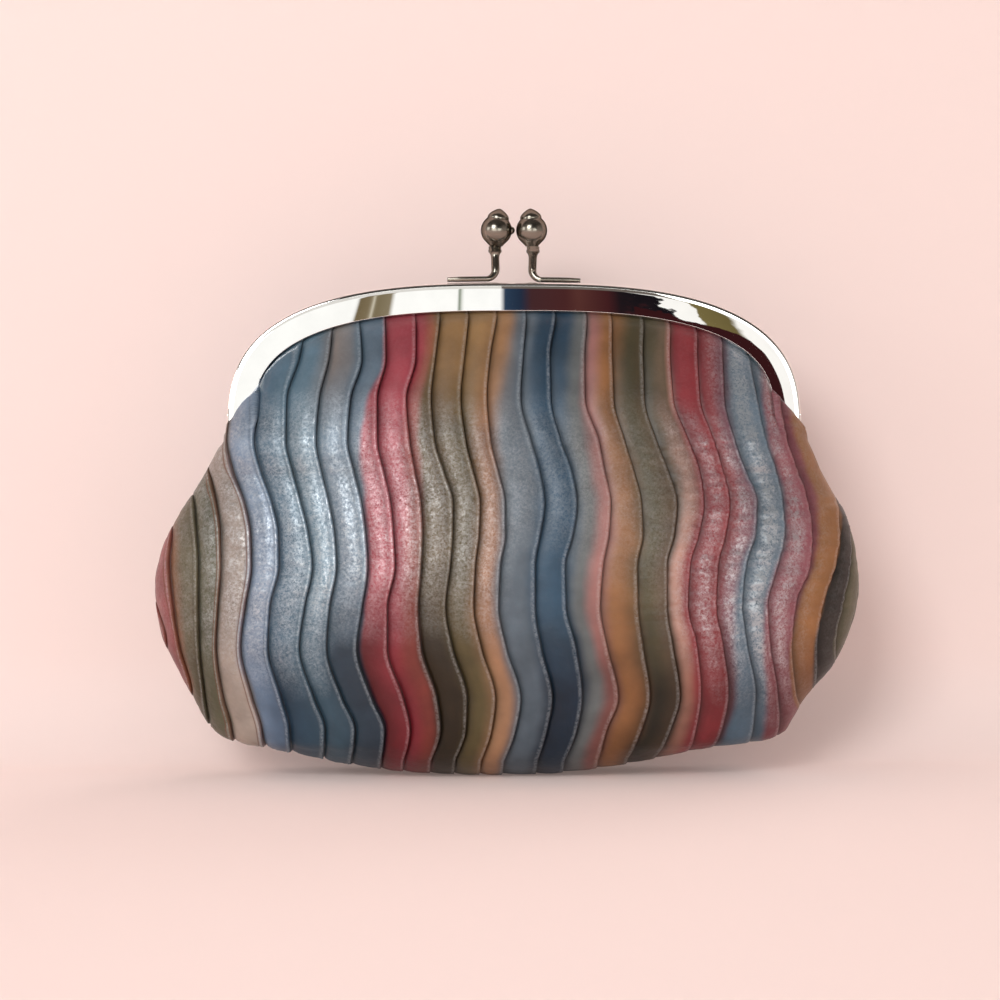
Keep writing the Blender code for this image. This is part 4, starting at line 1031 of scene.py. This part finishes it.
def leather_finish(name):
    """Pearly dyed leather that follows the map dye and the attributes rest, in cm, and relief."""
    material, tree, shader = new_graph(name)
    dye = add(tree, "ShaderNodeUVMap", uv_map="dye").outputs[0]
    skin = add(tree, "ShaderNodeAttribute", attribute_name="rest").outputs["Vector"]
    relief = add(tree, "ShaderNodeAttribute", attribute_name="relief").outputs["Fac"]
    parts = add(tree, "ShaderNodeSeparateXYZ", {0: dye}).outputs
    tuck, height = parts["X"], parts["Y"]
    wobble = sum_up(tree, "SUBTRACT", noise(tree, skin, WOBBLE_PER_CM, 3.0), 0.5)
    level = sum_up(tree, "ADD", height, times(tree, wobble, WOBBLE))
    in_tuck = sum_up(tree, "FRACT", sum_up(tree, "ADD", times(tree, tuck, DYE_SPAN), DYE_START), 0.0)
    pucker, drawn = puckers(tree, tuck, height, skin)
    dyed, light = dyed_layer(tree, tuck, height, level, skin)
    silver, grain = silver_layer(tree, tuck, level, skin, in_tuck, pucker, drawn)
    # The silver takes the same painted shade high on the bag.
    pearl = mix(tree, 1.0, mix(tree, SILVER_DYE, SILVER, light), ramp(tree, height, HIGH_PAINTED_SHADE),
                "MULTIPLY")
    worn = mix(tree, silver, dyed, pearl)
    rust = times(tree, ramp(tree, in_tuck, BY_LINE), by_tuck(tree, tuck, RUSTY), RUST_STRENGTH)
    worn = mix(tree, rust, worn, RUSTY_DYE)
    # Painted shade in each fold, by how high the point stands in its tuck.
    shade = mix(tree, by_tuck(tree, tuck, AT_RIGHT), ramp(tree, relief, SHADE),
                ramp(tree, relief, RIGHT_SHADE))
    # Painted shade in the stitch groove and painted highlight on the lip, strongest at the left.
    shade = mix(tree, by_tuck(tree, tuck, STITCH_SHADE_SHOWS), shade,
                mix(tree, 1.0, shade, ramp(tree, in_tuck, STITCH_SHADE_AND_LIP_LIGHT), "MULTIPLY"))
    tree.links.new(mix(tree, 1.0, worn, shade, "MULTIPLY"), shader.inputs["Base Color"])
    tree.links.new(times(tree, silver, SILVER_METAL), shader.inputs["Metallic"])
    tree.links.new(sum_up(tree, "SUBTRACT", PLAIN_ROUGHNESS, times(tree, silver, SILVER_SMOOTHS)),
                   shader.inputs["Roughness"])
    shader.inputs["Specular IOR Level"].default_value = SPECULAR_LEVEL
    folds = add(tree, "ShaderNodeBump", {"Height": times(tree, pucker, drawn), "Strength": 1.0,
                                         "Distance": PUCKER_BUMP})
    fine = add(tree, "ShaderNodeBump", {"Height": grain, "Strength": 0.5, "Distance": GRAIN_BUMP,
                                        "Normal": folds.outputs[0]})
    tree.links.new(fine.outputs[0], shader.inputs["Normal"])
    return material


pearl_leather = leather_finish("pearl_leather")
print("leather finish nodes:", len(pearl_leather.node_tree.nodes))

# %% [markdown]
# The front panel of the bag stands for three solids: the part that turns with
# the frame, the fold at the hinge and the part below. One skin covers all.

# %% Front and rear leather
HALVES = (("front", 1.0, "front_half"), ("rear", -1.0, "rear_half"))


def leather_maps(points):
    """The dye map: tuck number and height, each as a share."""
    number = np.broadcast_to(leather_column - SPARE_TUCKS, points.shape[:2])
    dye = np.stack([(number - DYE_START) / DYE_SPAN, points[..., 2] / HEIGHT_SPAN], axis=-1)
    return {"dye": np.tile(dye.reshape(-1, 2), (2, 1))}


def leather_relief():
    """How high each point stands in its tuck, from 0 at the fold line to 1 at the lip."""
    low, high = TUCK_SECTION[:, 1].min(), TUCK_SECTION[:, 1].max()
    section = np.append(np.tile(TUCK_SECTION[:, 1], tuck_count), low)
    grid = np.broadcast_to((section - low) / (high - low), leather_top.shape[:2])
    return np.concatenate([grid.ravel(), np.full(grid.size, 0.5)])


def add_values(made, name, values, faces):
    """Stores one number or one place for each point of a piece as an attribute."""
    kept = values[np.unique(faces)].astype(np.float32)
    kind, field = ("FLOAT", "value") if kept.ndim == 1 else ("FLOAT_VECTOR", "vector")
    made.data.attributes.new(name, kind, "POINT").data.foreach_set(field, kept.ravel())


leather_in = leather_base - leather_out * LEATHER / 2
index = grid_index(*leather_top.shape[:2], leather_ends)
skin_points, skin_faces = closed_skin(leather_top.reshape(-1, 3), leather_in.reshape(-1, 3), index)
for side, sign, body in HALVES:
    flip = skin_faces if sign > 0 else skin_faces[:, ::-1]
    piece = new_piece(f"{side}_pleated_leather", skin_points * (1.0, sign, 1.0), flip,
                      pearl_leather, leather_maps(leather_top))
    add_values(piece, "relief", leather_relief(), flip)
    add_values(piece, "rest", np.tile(leather_base.reshape(-1, 3), (2, 1)) / (10 * MM), flip)
    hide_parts(*(f"{side}_panel_{part}" for part in ("upper", "fold", "lower")))
    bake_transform(piece)
    print(piece.name, len(piece.data.polygons), "triangles")

# %% [markdown]
# Metal is polished nickel for the frame and a darker nickel for the knobs.
# Both have a faint uneven polish, so that highlights don't look drawn.

# %% Metal finishes
POLISH_PER_M, WAVES_PER_M = 160.0, 45.0
WAVE_BUMP = 0.2 * MM


def metal_finish(name, colour, roughness, unevenness, edge=(255, 255, 255)):
    """Polished metal whose roughness wanders a little, with the tint that it has at its edges."""
    material, tree, shader = new_graph(name)
    where = add(tree, "ShaderNodeTexCoord").outputs["Object"]
    polish = noise(tree, where, POLISH_PER_M, 4.0)
    rough = sum_up(tree, "ADD", times(tree, polish, unevenness), roughness)
    tree.links.new(rough, shader.inputs["Roughness"])
    shader.inputs["Metallic"].default_value = 1.0
    shader.inputs["Specular Tint"].default_value = (*linear(edge), 1.0)
    tint = ramp(tree, polish, [(0.3, linear(colour) * 0.94), (0.7, linear(colour))])
    tree.links.new(tint, shader.inputs["Base Color"])
    bump = add(tree, "ShaderNodeBump", {"Height": noise(tree, where, WAVES_PER_M, 1.0),
                                        "Strength": 0.01, "Distance": WAVE_BUMP})
    tree.links.new(bump.outputs[0], shader.inputs["Normal"])
    return material


bright_nickel = metal_finish("bright_nickel", (252, 251, 249), 0.004, 0.008)
dark_nickel = metal_finish("dark_nickel", (138, 132, 122), 0.18, 0.06, (30, 27, 24))
print("metal finishes are ready")

# %% [markdown]
# Most metal pieces are rings of points joined into a closed skin: a section
# carried along a path, or a profile turned round an axis. A helper joins the
# rings, closes both ends with a fan and turns the faces outwards if their
# enclosed volume comes out negative.

# %% Closed pieces from rings


def outward(points, faces):
    """Turns all faces round if the volume, a sum of (a x b) . c / 6, is negative."""
    a, b, c = points[faces[:, 0]], points[faces[:, 1]], points[faces[:, 2]]
    volume = np.einsum("ij,ij->", np.cross(a, b), c) / 6
    return faces if volume > 0 else faces[:, ::-1]


def join_rings(rings):
    """Points and triangles of a closed skin through rings that run the same way round."""
    rings = np.asarray(rings, float)
    count, sides = rings.shape[:2]
    index = np.arange(count)[:, None] * sides + np.arange(sides + 1)[None, :] % sides
    faces = [triangles_of(index)]
    points = [rings.reshape(-1, 3)]
    for ring, turned in ((0, False), (count - 1, True)):
        centre = count * sides + int(turned)
        edge = index[ring]
        fan = np.stack([edge[1:], edge[:-1], np.full(sides, centre)], -1)
        faces.append(fan[:, ::-1] if turned else fan)
        points.append(rings[ring].mean(axis=0)[None])
    points, faces = np.concatenate(points), np.concatenate(faces)
    return points, outward(points, faces)


def gather(parts):
    """Several closed skins as one mesh."""
    offset, points, faces = 0, [], []
    for part_points, part_faces in parts:
        points.append(part_points)
        faces.append(part_faces + offset)
        offset += len(part_points)
    return np.concatenate(points), np.concatenate(faces)


def mirror_y(part):
    """The same skin on the rear side, with its faces kept outwards."""
    points, faces = part
    return points * (1.0, -1.0, 1.0), faces[:, ::-1]


def metal_piece(name, part, material, body, node, sharp=50):
    """A metal piece on its body, in place of its solid."""
    made = new_piece(name, *part, material)
    made.data.set_sharp_from_angle(angle=math.radians(sharp))
    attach(made, body)
    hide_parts(node)


print("ring helpers are ready")

# %% [markdown]
# Each half of the frame is pressed from one strip into a channel. Its section
# is a middle line with a wall on both sides and rounded lips, carried along
# the arch. The front wall is very slightly domed, as pressed metal is, which
# spreads what it mirrors.

# %% Section of the channel
OUTER_EDGE_RADIUS = 0.84 * MM
INNER_EDGE_RADIUS = 0.7 * MM
INNER_WALL_WIDTH = 5.4 * MM
FRONT_DOME = 0.006 * MM
END_EASE = 0.06 * MM
END_SHAPE = np.array(((0.93, 0.70), (0.72, 1.0), (-0.72, 1.0), (-0.93, 0.70)))
EAR_RADIUS = 3.0 * MM
WALL_END = HINGE_HEIGHT + EAR_RADIUS + 2 * CLEARANCE
FRONT_Y = -FRAME_DEPTH / 2


def arc(centre, radius, start, end, steps):
    """Places on a circle between two angles in degrees."""
    angle = np.radians(np.linspace(start, end, steps))
    return np.stack([centre[0] + radius * np.cos(angle), centre[1] + radius * np.sin(angle)], -1)


def channel_line(band):
    """Middle line of the channel: distance in from the outline, and y."""
    half = FRAME_SHEET / 2
    flat_in = np.linspace(band - END_EASE, OUTER_EDGE_RADIUS, 9)[:-1]
    flat_in = np.insert(flat_in, 1, flat_in[0] - END_EASE)
    bow = 1 - (2 * (flat_in - OUTER_EDGE_RADIUS) / (band - OUTER_EDGE_RADIUS) - 1) ** 2
    front = np.stack([flat_in, FRONT_Y + half - FRONT_DOME * bow], -1)
    inner_y = -(CLEARANCE / 2 + FRAME_SHEET) + half
    outer_bend = arc((OUTER_EDGE_RADIUS, FRONT_Y + OUTER_EDGE_RADIUS), OUTER_EDGE_RADIUS - half,
                     270, 180, 9)
    inner_bend = arc((half + INNER_EDGE_RADIUS, inner_y - INNER_EDGE_RADIUS), INNER_EDGE_RADIUS,
                     180, 90, 6)
    back = np.stack([np.linspace(half + INNER_EDGE_RADIUS, INNER_WALL_WIDTH - END_EASE, 5)[1:],
                     np.full(4, inner_y)], -1)
    return np.concatenate([front, outer_bend, inner_bend, back])


def thicken(line, wall):
    """A closed loop round a line: the line moved to both sides, with eased square ends."""
    along = np.gradient(line, axis=0)
    along /= np.linalg.norm(along, axis=1, keepdims=True)
    side = np.stack([-along[:, 1], along[:, 0]], -1) * wall / 2
    caps = []
    for end, sense in ((-1, 1.0), (0, -1.0)):
        caps.append(line[end] + sense * (END_SHAPE[:, :1] * side[end]
                                         + END_SHAPE[:, 1:] * along[end] * END_EASE))
    return np.concatenate([line + side, caps[0], (line - side)[::-1], caps[1]])


loop = thicken(channel_line(BAND_WIDTH), FRAME_SHEET)
print("points round the channel:", len(loop))

# %% [markdown]
# The feet of the arms carry round ears, one layer over the other on the rivet,
# so both halves turn about one line. The ears are flat plates with eased edges.

# %% Ears and arm feet
EAR_NECK = 6.5 * MM
EAR_THINNING = 0.2 * MM
EDGE_EASE = 0.12 * MM


def plate(outline, low, high):
    """A flat plate across x from an outline of (y, z), with eased edges."""
    outline = np.asarray(outline)
    after, before = np.roll(outline, -1, axis=0), np.roll(outline, 1, axis=0)
    inside = unit(outline.mean(axis=0) - outline) * EDGE_EASE
    ease = (high - low) / abs(high - low) * EDGE_EASE
    rings = []
    for place, shift in ((low, 1.0), (low + ease, 0.0), (high - ease, 0.0), (high, 1.0)):
        flat = outline + inside * shift
        rings.append(np.column_stack([np.full(len(flat), place), flat]))
    return join_rings(rings)


def ear_outline(front):
    """Round ear with a neck that runs up into the channel, as (y, z)."""
    inner = -CLEARANCE / 2 if front else -(CLEARANCE / 2 + FRAME_SHEET / 2)
    outer = FRONT_Y + EAR_THINNING
    top = HINGE_HEIGHT + EAR_NECK
    start = math.degrees(math.asin(-inner / EAR_RADIUS)) + 90
    round_part = arc((0.0, HINGE_HEIGHT), EAR_RADIUS, start, -180, 34)
    return np.concatenate([[(inner, top)], round_part,
                           [(outer, WALL_END - EAR_RADIUS / 2), (outer, top)]])


def frame_half(front):
    """One pressed half: the channel, two ears and two arm feet."""
    places, inward = arch_line(WALL_END, 221)
    loops = np.array([thicken(channel_line(band), FRAME_SHEET)
                      for band in band_width_at(places[:, 1])])
    rings = np.stack([places[:, :1] + loops[..., 0] * inward[:, :1], loops[..., 1],
                      places[:, 1:] + loops[..., 0] * inward[:, 1:]], axis=-1)
    parts = [join_rings(rings)]
    outside = FRAME_WIDTH / 2 - EAR_THINNING / 2 - (0.0 if front else FRAME_SHEET + CLEARANCE)
    ear = (outside - FRAME_SHEET + EAR_THINNING, outside)
    foot = (FRAME_WIDTH / 2 - ARM_BAND_WIDTH, FRAME_WIDTH / 2 - OUTER_EDGE_RADIUS)
    near, far = FRONT_Y + EAR_THINNING / 2, FRONT_Y + FRAME_SHEET - EAR_THINNING / 2
    foot_outline = [(near, HINGE_HEIGHT), (near, WALL_END + FRAME_SHEET),
                    (far, WALL_END + FRAME_SHEET), (far, HINGE_HEIGHT)]
    for sign in (-1, 1):
        parts.append(plate(ear_outline(front), sign * ear[0], sign * ear[1]))
        parts.append(plate(foot_outline, sign * foot[0], sign * foot[1]))
    whole = gather(parts)
    return whole if front else mirror_y(whole)


for side, sign, body in HALVES:
    metal_piece(f"{side}_frame_half", frame_half(sign > 0), bright_nickel, body,
                f"{side}_frame")
print("frame halves are in place")

# %% [markdown]
# A rivet is a headed pin through both ears. It is a profile turned round the
# hinge line, with a low crown on each head.

# %% Rivets


def turned(profile, centre, axis, sides=40):
    """A profile of (place along the axis, radius) carried round the axis."""
    along = np.array({"X": (1.0, 0.0, 0.0), "Z": (0.0, 0.0, 1.0)}[axis])
    first = np.array({"X": (0.0, 1.0, 0.0), "Z": (1.0, 0.0, 0.0)}[axis])
    second = np.cross(along, first)
    angle = np.linspace(0.0, 2 * math.pi, sides, endpoint=False)
    spokes = np.outer(np.cos(angle), first) + np.outer(np.sin(angle), second)
    profile = np.asarray(profile)
    return join_rings(np.array(centre) + profile[:, 0, None, None] * along
                      + profile[:, 1, None, None] * spokes)


RIVET_DIAMETER, RIVET_HEAD, RIVET_CROWN = 2.0 * MM, 3.8 * MM, 0.6 * MM
CROWN_POWER, CROWN_TIP = 0.6, 0.05 * MM
head_turn = np.linspace(0.0, math.pi / 2, 7)
outside = FRAME_WIDTH / 2 + CLEARANCE
inside = FRAME_WIDTH / 2 - 2 * (FRAME_SHEET + CLEARANCE)
crown = np.stack([RIVET_CROWN * np.sin(head_turn),
                  RIVET_HEAD / 2 * np.cos(head_turn) ** CROWN_POWER], -1)
crown[-1, 1] = CROWN_TIP
pin = np.concatenate([(inside, 0.0) + crown[::-1] * (-1, 1),
                      [(inside, RIVET_DIAMETER / 2), (outside, RIVET_DIAMETER / 2)],
                      (outside, 0.0) + crown])
for side, sign in (("left", -1), ("right", 1)):
    metal_piece(f"{side}_rivet", turned(pin * (sign, 1), (0.0, 0.0, HINGE_HEIGHT), "X"),
                bright_nickel, "rear_half", f"{side}_hinge_rivet")
print("rivets are in place")

# %% [markdown]
# Each knob is a ball with a low onion-shaped cap, on a stem that bends along
# the top of the arch into a soldered foot. The balls stand a little askew on
# their stems and pass each other closely, which holds the purse shut.

# %% Knob balls
BALL, BALL_HEIGHT, BALL_GAP = 7.3 * MM, 12.4 * MM, 1.0 * MM
FINIAL_HEIGHT, FINIAL = 1.5 * MM, 5.2 * MM
SEAT_RADIUS, SEAT_DEPTH, SEAT_GAP = 2.3 * MM, 1.03, 0.03 * MM
BALL_LEAN = {"left": math.radians(9.0), "right": math.radians(-4.0)}
LEAN_LOW, LEAN_RUN = 0.55, 0.5
NUB, NUB_TIP = 1.9 * MM, 0.05
STEM, COLLAR = 1.9 * MM, 3.1 * MM
FOOT_REACH, FOOT_HEIGHT, FOOT_DEPTH = 15.8 * MM, 1.2 * MM, 3.4 * MM
FOOT_TIP, FOOT_SQUARE = 0.82, 0.45
BEND_RADIUS = 2.2 * MM
STEM_SHIFT = 0.35 * MM
ARCH_TOP = HINGE_HEIGHT + ARM_LENGTH + ARCH_RISE


def ball_centre(front):
    """Middle of a half's ball: to the left in front, to the right behind."""
    sign = -1 if front else 1
    return np.array((sign * (BALL + BALL_GAP) / 2, -sign * CLEARANCE / 2,
                     ARCH_TOP + BALL_HEIGHT))


def ball_profile():
    """Short cone, circle, waist and low cap: places along the stem and radii."""
    radius = BALL / 2
    turn = np.linspace(math.asin(SEAT_RADIUS / radius), math.pi - math.asin(FINIAL / BALL), 40)
    circle = np.stack([-radius * np.cos(turn), radius * np.sin(turn)], -1)
    cone = np.array(((-SEAT_DEPTH, 0.40), (-0.95, 0.46), (-0.86, 0.55))) * radius
    shoulder = radius * math.cos(math.asin(FINIAL / BALL))
    cap = np.array(((0.04, 0.965), (0.10, 0.955), (0.18, 0.965), (0.32, 0.93), (0.48, 0.82),
                    (0.64, 0.66), (0.79, 0.46), (0.91, 0.26), (0.98, 0.10), (1.0, 0.02)))
    rise = radius + FINIAL_HEIGHT - shoulder
    cap = np.stack([shoulder + cap[:, 0] * rise, cap[:, 1] * FINIAL / 2], -1)
    return np.concatenate([cone, circle, cap])


def lean(part, side):
    """A knob's skin bent about y: the turn grows from 0 at the seat to its full angle."""
    points, faces = part
    middle = ball_centre(side == "left")
    x, y, z = (points - middle).T
    angle = BALL_LEAN[side] * smooth((z / BALL + LEAN_LOW) / LEAN_RUN)
    c, s = np.cos(angle), np.sin(angle)
    return np.stack([x * c + z * s, y, z * c - x * s], axis=-1) + middle, faces


for side, front, body in (("left", True, "front_half"), ("right", False, "rear_half")):
    parts = [lean(turned(ball_profile(), ball_centre(front), "Z", 64), side)]
    if front:
        reach = BALL / 2 + BALL_GAP - CLEARANCE
        nose_turn = np.linspace(0.0, math.pi / 2 - NUB_TIP, 8)
        nose = np.stack([reach - NUB / 2 + NUB / 2 * np.sin(nose_turn),
                         NUB / 2 * np.cos(nose_turn)], -1)
        nose = np.concatenate([[(BALL / 2 - NUB, NUB / 2)], nose])
        parts.append(turned(nose, ball_centre(front), "X", 24))
    metal_piece(f"{side}_ball", gather(parts), dark_nickel, body, f"{side}_knob_ball")
print("balls at", [list(np.round(ball_centre(f) / MM, 1)) for f in (True, False)])

# %% [markdown]
# The stem is one section carried along a bent path. The section changes from
# a flat strip in the foot to a round rod in the stem, and swells at the collar.

# %% Knob stems


def stem_path(front):
    """Stations of a stem: x, y, z, width, depth and turn, from the foot's tip to the ball."""
    sign = -1 if front else 1
    foot_y = sign * (FRAME_DEPTH / 4 + CLEARANCE / 2)
    ball = ball_centre(front)
    stem_x = abs(ball[0]) + STEM_SHIFT
    lift = CLEARANCE + FOOT_HEIGHT / 2
    flat = np.linspace(FOOT_REACH, stem_x + BEND_RADIUS, 14)
    top = np.interp(flat, arch[arch[:, 0] >= 0, 0], arch[arch[:, 0] >= 0, 1])
    blunt = np.clip(FOOT_TIP + (FOOT_REACH - flat) / FOOT_REACH, 0.0, 1.0)
    stations = [(x, foot_y, z + lift, FOOT_HEIGHT * t, FOOT_DEPTH * t, 0.0)
                for x, z, t in zip(flat, top, blunt)]
    bend_z = stations[-1][2] + BEND_RADIUS
    for share in np.linspace(0.0, 1.0, 12)[1:]:
        angle = share * math.pi / 2
        stations.append((stem_x + BEND_RADIUS * (1 - math.sin(angle)), foot_y,
                         bend_z - BEND_RADIUS * math.cos(angle),
                         FOOT_HEIGHT + (STEM - FOOT_HEIGHT) * share,
                         FOOT_DEPTH + (STEM - FOOT_DEPTH) * smooth(share), angle))
    neck = ball[2] - BALL / 2 * SEAT_DEPTH - SEAT_GAP
    rise = neck - bend_z
    swell = ((0.15, STEM), (0.50, STEM), (0.62, 1.08 * STEM), (0.70, 1.30 * STEM), (0.76, COLLAR),
             (0.84, COLLAR), (0.89, 0.90 * COLLAR), (0.94, 0.97 * COLLAR), (1.0, 0.90 * COLLAR))
    for share, size in swell:
        y = foot_y + (ball[1] - foot_y) * share
        stations.append((stem_x, y, bend_z + rise * share, size, size, math.pi / 2))
    return sign, np.array(stations)


def build_stem(front):
    """The stem's rings: |cos|^q and |sin|^q loops, square in the foot and round above."""
    sign, path = stem_path(front)
    angle = np.linspace(0.0, 2 * math.pi, 28, endpoint=False)[None, :]
    x, y, z, width, depth, turn = path.T[..., None]
    power = FOOT_SQUARE + (1 - FOOT_SQUARE) * turn / (math.pi / 2)
    across = np.sign(np.cos(angle)) * np.abs(np.cos(angle)) ** power * width / 2
    deep = np.sign(np.sin(angle)) * np.abs(np.sin(angle)) ** power * depth / 2
    return join_rings(np.stack([sign * (x + across * np.sin(turn)), y + deep,
                                z + across * np.cos(turn)], axis=-1))


for side, front, body in (("left", True, "front_half"), ("right", False, "rear_half")):
    metal_piece(f"{side}_stem", build_stem(front), dark_nickel, body, f"{side}_knob_stem")
print("stems are in place")

# %% [markdown]
# The lining is a thin dark cloth just inside the leather. It has no tucks, only
# a slack that makes soft upright folds.

# %% Lining cloth
LINING = 0.4 * MM
LINING_INSET = LEATHER / 2 + CLEARANCE + LINING / 2
LINING_COLUMNS = np.linspace(-1.0, 1.0, 141)
SLACK, SLACK_WAVES = 0.35 * MM, 26
THREADS_PER_CM, BANDS_PER_SCALE = 20, 3.2


def cloth_finish(name, colour):
    """Plain weave: two crossed sets of bands over and under, from the skin map."""
    material, tree, shader = new_graph(name)
    skin = add(tree, "ShaderNodeUVMap", uv_map="skin").outputs[0]
    waves = []
    for direction in ("X", "Y"):
        waves.append(add(tree, "ShaderNodeTexWave", {
            "Vector": skin, "Scale": THREADS_PER_CM / BANDS_PER_SCALE, "Distortion": 0.4, "Detail": 2.0,
            "Detail Scale": 4.0}, bands_direction=direction).outputs["Fac"])
    weave = sum_up(tree, "MAXIMUM", *waves)
    shade = times(tree, weave, sum_up(tree, "ADD", noise(tree, skin, 3.0, 4.0), 0.5))
    colours = ramp(tree, shade, [(0.1, linear(colour) * 0.55), (0.9, linear(colour) * 1.2)])
    tree.links.new(colours, shader.inputs["Base Color"])
    bump = add(tree, "ShaderNodeBump", {"Height": weave, "Strength": 0.5, "Distance": 0.1 * MM})
    tree.links.new(bump.outputs[0], shader.inputs["Normal"])
    shader.inputs["Roughness"].default_value = 0.85
    shader.inputs["Sheen Weight"].default_value = 0.25
    return material


lining_places = np.concatenate([[0.0, 0.5, 0.9], 1 + bag_heights[::2] / HINGE_HEIGHT,
                                2 + rise[::2], [3.15, 3.4, 3.9]])
plain, outward_way = plain_bag(lining_places)
reach = 1 - (1 - TUCKED_SHARE) * smooth((lining_places - 1.85) / 0.2)
lining_share = reach[:, None] * LINING_COLUMNS
lining_mid = np.array([spread(row, at) for row, at in zip(plain, lining_share)])
lining_out = unit(np.array([spread(row, at) for row, at in zip(outward_way, lining_share)]))
slack = SLACK * (1 - np.cos(LINING_COLUMNS * SLACK_WAVES * math.pi))[None, :]
slack = slack * (smooth((lining_places - 1.0) / 0.4)
                 * (1 - smooth((lining_places - 2.2) / 0.5)))[:, None]
lining_mid = lining_mid - lining_out * (LINING_INSET + slack)[..., None]
lining_mid[..., 1] = np.minimum(lining_mid[..., 1], -CLEARANCE)
lining_mid[..., 2] = np.maximum(lining_mid[..., 2], LINING / 2 + GROUND_GAP)
print("lining grid:", lining_mid.shape)

# %% [markdown]
# The weave is made of bands that cross at right angles, read from the cloth's
# own map in centimetres, so it follows the cloth round the bag.

# %% Front and rear lining
HALF_CLOTH_CM = 10.0
lining_cloth = cloth_finish("lining_cloth", (74, 56, 50))
rows, columns = lining_mid.shape[:2]
index = grid_index(rows, columns)
lining_points, lining_faces = closed_skin(
    (lining_mid + lining_out * LINING / 2).reshape(-1, 3),
    (lining_mid - lining_out * LINING / 2).reshape(-1, 3), index)
up = np.cumsum(np.linalg.norm(np.diff(lining_mid[:, columns // 2], axis=0,
                                      prepend=lining_mid[:1, columns // 2]), axis=1))
cloth_map = np.stack([lining_share * HALF_CLOTH_CM, np.broadcast_to(up[:, None] / (10 * MM),
                                                           lining_share.shape)], axis=-1)
cloth_map = np.tile(cloth_map.reshape(-1, 2), (2, 1))
for side, sign, body in HALVES:
    flip = lining_faces if sign > 0 else lining_faces[:, ::-1]
    piece = new_piece(f"{side}_lining", lining_points * (1.0, sign, 1.0), flip, lining_cloth,
                      {"skin": cloth_map})
    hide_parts(*(f"{side}_lining_{part}" for part in ("upper", "fold", "lower")))
    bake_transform(piece)
    print(piece.name, len(piece.data.polygons), "triangles")

# %% [markdown]
# Twisted kraft paper is pushed into the channel behind the cloth, and holds the
# leather in. Its section has two lobes that turn as it runs along the arch.

# %% Paper cords
PAPER_WIDTH, PAPER_RISE, TWIST_LENGTH, LOBE = 2.4 * MM, 8.0 * MM, 5.0 * MM, 0.18
FIBRES_PER_M = 900.0


def paper_cord():
    """Radius r (1 - l + l |cos(angle - twist)|) round the path, twist growing along it."""
    places, inward = arch_line(HINGE_HEIGHT + PAPER_RISE, 260)
    near = CHANNEL_Y + LINING_INSET + LINING / 2 + CLEARANCE
    far = -(CLEARANCE / 2 + FRAME_SHEET) - CLEARANCE
    steps = np.hypot(*np.diff(places, axis=0).T)
    run = np.concatenate([[0.0], np.cumsum(steps)])
    angle = np.linspace(0.0, 2 * math.pi, 20, endpoint=False)[None, :]
    twist = (run * 2 * math.pi / TWIST_LENGTH)[:, None]
    lobes = 1 - LOBE + LOBE * np.abs(np.cos(angle - twist))
    deep = INNER_WALL_WIDTH - PAPER_WIDTH / 2 + np.cos(angle) * lobes * PAPER_WIDTH / 2
    out = (near + far) / 2 + np.sin(angle) * lobes * (far - near) / 2
    return join_rings(np.stack([places[:, :1] + deep * inward[:, :1], out,
                                places[:, 1:] + deep * inward[:, 1:]], axis=-1))


kraft, tree, shader = new_graph("kraft_paper")
where = add(tree, "ShaderNodeTexCoord").outputs["Object"]
fibre = noise(tree, where, FIBRES_PER_M, 4.0)
tree.links.new(ramp(tree, fibre, [(0.3, linear((150, 124, 92))), (0.7, linear((198, 172, 134)))]),
               shader.inputs["Base Color"])
shader.inputs["Roughness"].default_value = 0.9
for side, sign, body in HALVES:
    cord = paper_cord()
    piece = new_piece(f"{side}_kraft_cord", *(cord if sign > 0 else mirror_y(cord)), kraft)
    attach(piece, body)
    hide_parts(f"{side}_paper_cord")
print("paper cords are in place")
